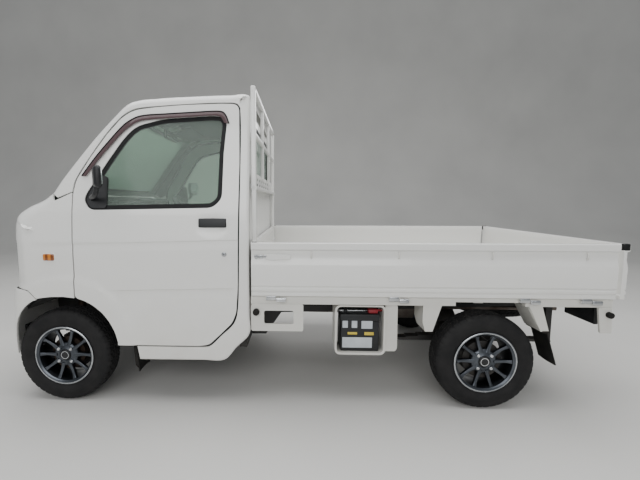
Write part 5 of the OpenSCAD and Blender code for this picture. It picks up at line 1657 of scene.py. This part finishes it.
cushion_count = 0
for side, tag in ((1, "left"), (-1, "right")):
    y0, y1 = sorted((side * 0.094, side * (seat_high.y - 0.004)))
    mid_y = (y0 + y1) / 2
    z0 = seat_low.z + 0.004
    base = block((seat_low.x + 0.158, y0, z0), (seat_high.x + 0.004, y1, z0 + 0.108), 0.034, 5)
    for v in base.verts:
        if v.co.z > z0 + 0.05:
            v.co.z += 0.02 * ease(seat_low.x + 0.2, seat_high.x - 0.03, v.co.x) - 0.012 * math.exp(-((v.co.y
                - mid_y) / 0.15) ** 2)
    stuffed(f"seat_cushion_{tag}", base, lambda co: co.z < z0 + 0.03, 4.0)
    rest = block((0.0, y0 + 0.004, 0.0), (0.085, y1 - 0.004, 0.545), 0.032, 5)
    for v in rest.verts:
        up = v.co.z / 0.545
        narrow = 1 - 0.16 * ease(0.62, 1.0, up)
        v.co.y = mid_y + (v.co.y - mid_y) * narrow
        v.co.x -= 0.02 * up
        v.co.x += 0.012 * (abs(v.co.y - mid_y) / 0.25) ** 2 * (v.co.x > 0.04)
    lean = Matrix.Translation((seat_low.x + 0.055, 0, z0 + 0.112)) @ Matrix.Rotation(math.radians(-8), 4,
        "Y")
    bmesh.ops.transform(rest, matrix=lean, verts=rest.verts[:])
    stuffed(f"seat_back_{tag}", rest, lambda co: co.x < seat_low.x + 0.05 + 0.012 - (co.z - z0) * 0.14, 4.0)
    cushion_count += 2
    pad = block((-0.02, mid_y - 0.115, 0.0), (0.05, mid_y + 0.115, 0.105), 0.028, 5)
    bmesh.ops.transform(pad, matrix=Matrix.Translation((seat_low.x - 0.004, 0, z0 + 0.572)),
        verts=pad.verts[:])
    stuffed(f"head_pad_{tag}", pad, lambda co: co.z < z0 + 0.60, 2.0)
stand = []
for side in (1, -1):
    y0, y1 = sorted((side * 0.10, side * 0.58))
    stand.append(block((seat_low.x + 0.12, y0, seat_low.z - 0.001), (seat_high.x - 0.01, y1, seat_low.z
        + 0.008), 0.003))
    stand.append(drum((seat_low.x + 0.11, side * 0.585, seat_low.z + 0.075), "y", 0.03, 0.014, 28, 0.004))
    stand.append(block((seat_low.x + 0.10, side * 0.585 - 0.005, seat_low.z + 0.07), (seat_low.x + 0.25,
        side * 0.585 + 0.005, seat_low.z + 0.085), 0.004))
piece(join(*stand), "seat_frames_and_levers", DASH_PLASTIC, "body", nodes=("seats",))
print(cushion_count, "cushions upholstered")

# %% [markdown]
# ## Dashboard and steering wheel
# The dashboard is a moulded section with a hood over the dials, two square vents, a glove tray
# and a centre stack. The wheel has a grained rim, two spokes and a soft centre pad, and its
# column sits in a shroud with two stalks.

# %% Dashboard
d_low, d_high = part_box("dashboard")
DASH = [(AXLE_F - 0.182, 0.872), (AXLE_F - 0.206, 0.96), (AXLE_F - 0.213, 1.05), (AXLE_F - 0.206, 1.083),
    (AXLE_F - 0.18, 1.108), (AXLE_F - 0.15, 1.124), (AXLE_F - 0.05, 1.139), (AXLE_F + 0.042, 1.146), (AXLE_F
    + 0.10, 1.115), (AXLE_F + 0.145, 1.072), (AXLE_F + 0.145, 0.90), (AXLE_F + 0.05, 0.872)]
dash_bm = along("y", DASH, d_low.y + 0.012, d_high.y - 0.012)
dash = piece(dash_bm, "dashboard_moulding", DASH_PLASTIC, "body", nodes=("dashboard",),
    bevel=0.006, smooth_angle=50)
carve(dash, [block((AXLE_F - 0.26, 0.10, 0.985), (AXLE_F - 0.10, 0.50, 1.055), 0.02), block((AXLE_F - 0.26,
    0.14, 0.885), (AXLE_F - 0.06, 0.52, 0.955), 0.018)])
W_MID = (AXLE_F - 0.400, -0.330, 1.040)
lumps = [block((AXLE_F - 0.196, -0.50, 1.07), (AXLE_F - 0.035, -0.16, 1.166), 0.03, 5), block((AXLE_F
    - 0.150, 0.30, 1.118), (AXLE_F - 0.07, 0.40, 1.150), 0.012, 4), block((AXLE_F - 0.228, -0.10, 0.88),
    (AXLE_F - 0.17, 0.09, 1.085), 0.014, 4)]
details = [block((AXLE_F - 0.2325, -0.085, 1.005), (AXLE_F - 0.222, 0.075, 1.065), 0.004)]
for y in (-0.045, 0.0, 0.045):
    details.append(drum((AXLE_F - 0.235, y - 0.005, 0.915), "x", 0.016, 0.022, 28, 0.004))
for y in (-0.57, -0.145, 0.56):
    details.append(block((AXLE_F - 0.217, y - 0.035, 1.02), (AXLE_F - 0.205, y + 0.035, 1.07), 0.004))
    for i in range(4):
        details.append(block((AXLE_F - 0.2185, y - 0.03, 1.028 + 0.0105 * i), (AXLE_F - 0.2165, y + 0.03,
            1.0305 + 0.0105 * i), 0.0008, 2))
piece(join(*lumps), "dashboard_hoods", DASH_PLASTIC, "body")
piece(join(*details), "dashboard_vents_and_knobs", BLACK_PLASTIC, "body")
dial = join(block((AXLE_F - 0.199, -0.455, 1.085), (AXLE_F - 0.193, -0.205, 1.145), 0.002))
piece(dial, "instrument_window", SMOKE_ACRYLIC, "body")

# %% Steering wheel and column
wheel_tilt = Matrix.Translation(W_MID) @ Matrix.Rotation(math.radians(-50), 4, "Y")


def tilted(*bms):
    whole = join(*bms)
    bmesh.ops.transform(whole, matrix=wheel_tilt, verts=whole.verts[:])
    return whole


ring_points = [(0.170 * math.cos(a), 0.170 * math.sin(a), 0.020) for a in (2 * math.pi * i / 48
    for i in range(48))]
rim_ring = tube(ring_points, 0.0128, 16, closed=True)
spokes = []
for a in (0.0, 120.0, 240.0):
    arm_bm = bmesh.new()
    bmesh.ops.create_cube(arm_bm, size=1.0)
    bmesh.ops.subdivide_edges(arm_bm, edges=arm_bm.edges[:], cuts=6, use_grid_fill=True)
    for v in arm_bm.verts:
        t = v.co.x + 0.5
        v.co = (0.03 + 0.135 * t, v.co.y * (0.046 - 0.022 * math.sin(t * math.pi / 1.3)), 0.016 + v.co.z
            * 0.011 + 0.003 * t)
    bmesh.ops.rotate(arm_bm, cent=(0, 0, 0), matrix=Matrix.Rotation(math.radians(a), 3, "Z"),
        verts=arm_bm.verts[:])
    spokes.append(arm_bm)
hub_pad = block((-0.052, -0.060, 0.009), (0.058, 0.060, 0.034), 0.0115, 5)
piece(tilted(rim_ring, *spokes, hub_pad), "steering_wheel_moulding", DASH_PLASTIC, "steering_wheel",
    nodes=("steering_wheel",), smooth_angle=50)
shroud = tilted(drum((0, 0, -0.085), "z", 0.036, 0.13, 32, 0.012), block((-0.034, -0.045, -0.15), (0.034,
    0.045, -0.03), 0.014, 4), drum((0, 0, -0.2), "z", 0.021, 0.17, 24), tube([(0, 0.04, -0.06), (0.01, 0.10,
    -0.052), (0.02, 0.150, -0.035)], 0.006, 10), tube([(0, -0.04, -0.06), (0.01, -0.10, -0.052), (0.02,
    -0.150, -0.035)], 0.006, 10))
piece(shroud, "steering_column_shroud", BLACK_PLASTIC, "body")
print("steering wheel made")

# %% [markdown]
# ## Headliner, visors, mirror and grab handles
# A dark board lines the roof. Two sun visors hang at the windscreen's top, a mirror on a stalk
# between them, and each pillar has a moulded trim with a grab handle.

# %% Cab lining
liner = bmesh.new()
bmesh.ops.create_grid(liner, x_segments=20, y_segments=20, size=0.5)
for v in liner.verts:
    s, t = v.co.x + 0.5, v.co.y * 2
    x = CAB_BACK + 0.045 + (AXLE_F - 0.42 - CAB_BACK - 0.045) * s
    z = ROOF_Z - 0.045 - 0.012 * t * t - 0.03 * abs(t) ** 6 - 0.02 * ease(0.9, 1.0, s) - 0.02 * (1 - ease(0,
        0.08, s))
    v.co = (x, t * 0.575, z)
piece(thicken(liner, 0.006, (0.9, 0, 3.0)), "roof_lining", HEADLINER, "body")
rear_trim = sheet([(-0.60, 0.70), (0.60, 0.70), (0.60, 1.23), (-0.60, 1.23)], [], [-0.3, 0, 0.3], [0.9,
    1.1])
piece(thicken(lay(rear_trim, lambda y, z: Vector((CAB_BACK + 0.043, y, z))), 0.005, (-9, 0, 1)),
    "cab_back_trim", TRIM_PLASTIC, "body")
flaps_up = []
for s in (-1, 1):
    y0, y1 = sorted((s * 0.075, s * 0.47))
    board = block((-0.075, y0, -0.009), (0.075, y1, 0.009), 0.0085, 4)
    bmesh.ops.transform(board, matrix=Matrix.Translation((AXLE_F - 0.455, 0, ROOF_Z - 0.098))
        @ Matrix.Rotation(math.radians(16), 4, "Y"), verts=board.verts[:])
    flaps_up.append(board)
    flaps_up.append(tube([(AXLE_F - 0.388, s * 0.49, ROOF_Z - 0.112), (AXLE_F - 0.386, s * 0.30, ROOF_Z
        - 0.112), (AXLE_F - 0.386, s * 0.07, ROOF_Z - 0.112)], 0.004, 8))
piece(join(*flaps_up), "sun_visors", HEADLINER, "body")
m_at = (AXLE_F - 0.40, 0.0, ROOF_Z - 0.155)
inner_mirror = join(block((m_at[0] - 0.012, -0.115, m_at[2] - 0.032), (m_at[0] + 0.012, 0.115, m_at[2]
    + 0.032), 0.011, 4), tube([(m_at[0] + 0.01, 0, m_at[2] + 0.01), (m_at[0] + 0.03, 0, m_at[2] + 0.04),
    (m_at[0] + 0.02, 0, ROOF_Z - 0.06)], 0.006, 10))
piece(inner_mirror, "inner_mirror", BLACK_PLASTIC, "body")
piece(block((m_at[0] - 0.0135, -0.106, m_at[2] - 0.025), (m_at[0] - 0.011, 0.106, m_at[2] + 0.025), 0.001,
    2), "inner_mirror_glass", MIRROR_SILVER, "body")


def inside_pillar(k, s, lift):
    p = loft_point(RING_OUTER, RING_INNER, RING_RADIUS, RING_FALL, k, s)
    toward = (Vector(CAB_MIDDLE) - p).normalized()
    return p + toward * lift


trims, grips = [], []
pillar = bmesh.new()
bmesh.ops.create_grid(pillar, x_segments=16, y_segments=4, size=0.5)
for v in pillar.verts:
    v.co = inside_pillar(0.3 + 4.4 * (v.co.x + 0.5), 1.15 + 1.75 * (v.co.y + 0.5), 0.032 - 0.012 * (2
        * v.co.y) ** 2)
trims.append(thicken(pillar, 0.003, (9, 9, 9)))
grip_line = [inside_pillar(1.3, 2.4, 0.03), inside_pillar(1.5, 2.4, 0.075), inside_pillar(2.2, 2.4, 0.082),
    inside_pillar(2.9, 2.4, 0.075), inside_pillar(3.1, 2.4, 0.03)]
grips.append(tube([tuple(p) for p in grip_line], 0.0095, 12))
piece(twin(join(*trims)), "pillar_trims", TRIM_PLASTIC, "body")
piece(twin(join(*grips)), "grab_handles", BLACK_PLASTIC, "body")
lever_bm = join(tube([(CAB_BACK + 0.62, 0.02, 0.60), (CAB_BACK + 0.66, 0.01, 0.78), (CAB_BACK + 0.64, 0.0,
    0.90)], 0.008, 10), drum((CAB_BACK + 0.64, 0.0, 0.915), "z", 0.022, 0.04, 28, 0.014))
piece(lever_bm, "gear_lever", BLACK_PLASTIC, "body")
print("cab lined")

# %% [markdown]
# ## Finishes for the engineered parts that stay in view
# Frame rails, axles, struts, tank, brackets and glass already have the right shape, so they
# keep their engineered meshes and only get a finish through their material slots.

# %% Finishes of carried-over nodes
FINISHED_NODES = {"chassis_frame cab_floor fuel_tank rear_axle suspension": CHASSIS_BLACK,
    "windscreen rear_window door_glass_left door_glass_right": CAB_GLASS, "engine_block": CAST_IRON,
    "exhaust": DULL_STEEL, "knuckle_left knuckle_right": DRUM_IRON,
    ("cab_sides cab_front_panel cab_back_panel roof_panel front_bumper door_left "
     "door_right guard_frame side_gate_left side_gate_right tailgate"): WHITE_ENAMEL,
    "headlamps": CLEAR_LENS, "dashboard steering_wheel": DASH_PLASTIC, "seats": SEAT_CLOTH,
    "mirror_left mirror_right battery": BLACK_PLASTIC, "bed_floor": BED_ENAMEL,
    "bed_brackets battery_tray": BRACKET_ENAMEL, "mud_flaps": FLAP_RUBBER, "tail_lamps": RED_LENS,}
NODE_FINISH = {node: finish for nodes, finish in FINISHED_NODES.items() for node in nodes.split()}
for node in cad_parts:
    name = node if isinstance(node, str) else node["name"]
    if name.startswith("wheel"):
        finish = GUNMETAL_ALLOY
    elif name.startswith("tyre") or name == "spare_wheel":
        finish = CARBON_TYRE
    else:
        finish = NODE_FINISH[name]
    slots = bpy.data.objects[name].material_slots
    for slot in slots:
        slot.material = finish
    if not slots:
        bpy.data.objects[name].data.materials.append(finish)
print(len(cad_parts), "nodes finished")

# %% [markdown]
# ## Stage, light and camera
# A pale studio floor that curves up into a wall keeps attention on the truck. White paint needs
# soft light from large panels: a broad overhead panel shapes the roof and the gates, a side
# panel fills the flank, and a dim world keeps shadows open. The camera stands level with the
# driver's head, square to the side, with a wide lens.

# %% Stage
def studio_finish(name, colour, rough):
    finish, tree, place = new_finish(name)
    cloud = add(tree, "ShaderNodeTexNoise", Vector=place, Scale=0.7, Detail=3.0).outputs["Fac"]
    tone = ramp(tree, cloud, [(0.2, colour), (0.9, "#DAD9D5")])
    shader = add(tree, "ShaderNodeBsdfPrincipled", Base_Color=tone, Roughness=rough)
    finish_out(tree, shader)
    return finish


bm = bmesh.new()
bmesh.ops.create_grid(bm, x_segments=2, y_segments=40, size=0.5)
for v in bm.verts:
    across, t = v.co.x * 40, v.co.y + 0.5
    run = 24 - 40 * t
    bend = max(-run - 5.5, 0.0)
    v.co = (across, run if bend == 0 else -5.5 - 3 * math.sin(min(bend / 3, math.pi / 2)), 0.0 if bend == 0
        else (3 - 3 * math.cos(min(bend / 3, math.pi / 2))) + max(bend - 4.7, 0.0))
mesh = bpy.data.meshes.new("studio_floor")
bmesh.ops.recalc_face_normals(bm, faces=bm.faces[:])
bm.to_mesh(mesh)
bm.free()
mesh.shade_smooth()
mesh.materials.append(studio_finish("pale_studio_floor", "#C9C8C5", 0.55))
floor = bpy.data.objects.new("studio_floor", mesh)
bpy.context.scene.collection.objects.link(floor)

world = bpy.data.worlds.new("studio_air")
world.use_nodes = True
world.node_tree.nodes["Background"].inputs["Color"].default_value = linear("#EEF1F4")
world.node_tree.nodes["Background"].inputs["Strength"].default_value = 0.42
bpy.context.scene.world = world


def panel_light(name, place, target, width, height, watts):
    light = bpy.data.lights.new(name, "AREA")
    light.shape = "RECTANGLE"
    light.size, light.size_y, light.energy = width, height, watts
    holder = bpy.data.objects.new(name, light)
    holder.location = place
    holder.rotation_euler = (Vector(target) - Vector(place)).to_track_quat("-Z", "Y").to_euler()
    bpy.context.scene.collection.objects.link(holder)


panel_light("overhead_panel", (0, 0.4, 4.6), (0, 0, 0), 7.0, 4.0, 260)
panel_light("flank_panel", (0.6, 6.0, 3.2), (0, 0, 0.9), 6.0, 2.6, 170)
panel_light("far_panel", (0, -5.0, 3.6), (0, 0, 0.8), 6.0, 2.0, 110)

# %% [markdown]
# The camera's turn comes from three small angles; its matrix is built from the looking
# direction so that the roll stays exact.

# %% Camera
YAW, PITCH, ROLL = 0.038, 0.1031, 0.0005
look = Vector((math.sin(YAW) * math.cos(PITCH), -math.cos(YAW) * math.cos(PITCH), -math.sin(PITCH)))
lens_data = bpy.data.cameras.new("view_camera")
lens_data.sensor_width = 36.0
lens_data.lens = 20.26
lens_data.shift_x = 0.0505
lens_data.clip_end = 60
camera = bpy.data.objects.new("view_camera", lens_data)
camera.matrix_world = Matrix.Translation((-0.0078, 2.632, 1.134)) @ look.to_track_quat("-Z",
    "Y").to_matrix().to_4x4() @ Matrix.Rotation(ROLL, 4, "Z")
bpy.context.scene.collection.objects.link(camera)
bpy.context.scene.camera = camera
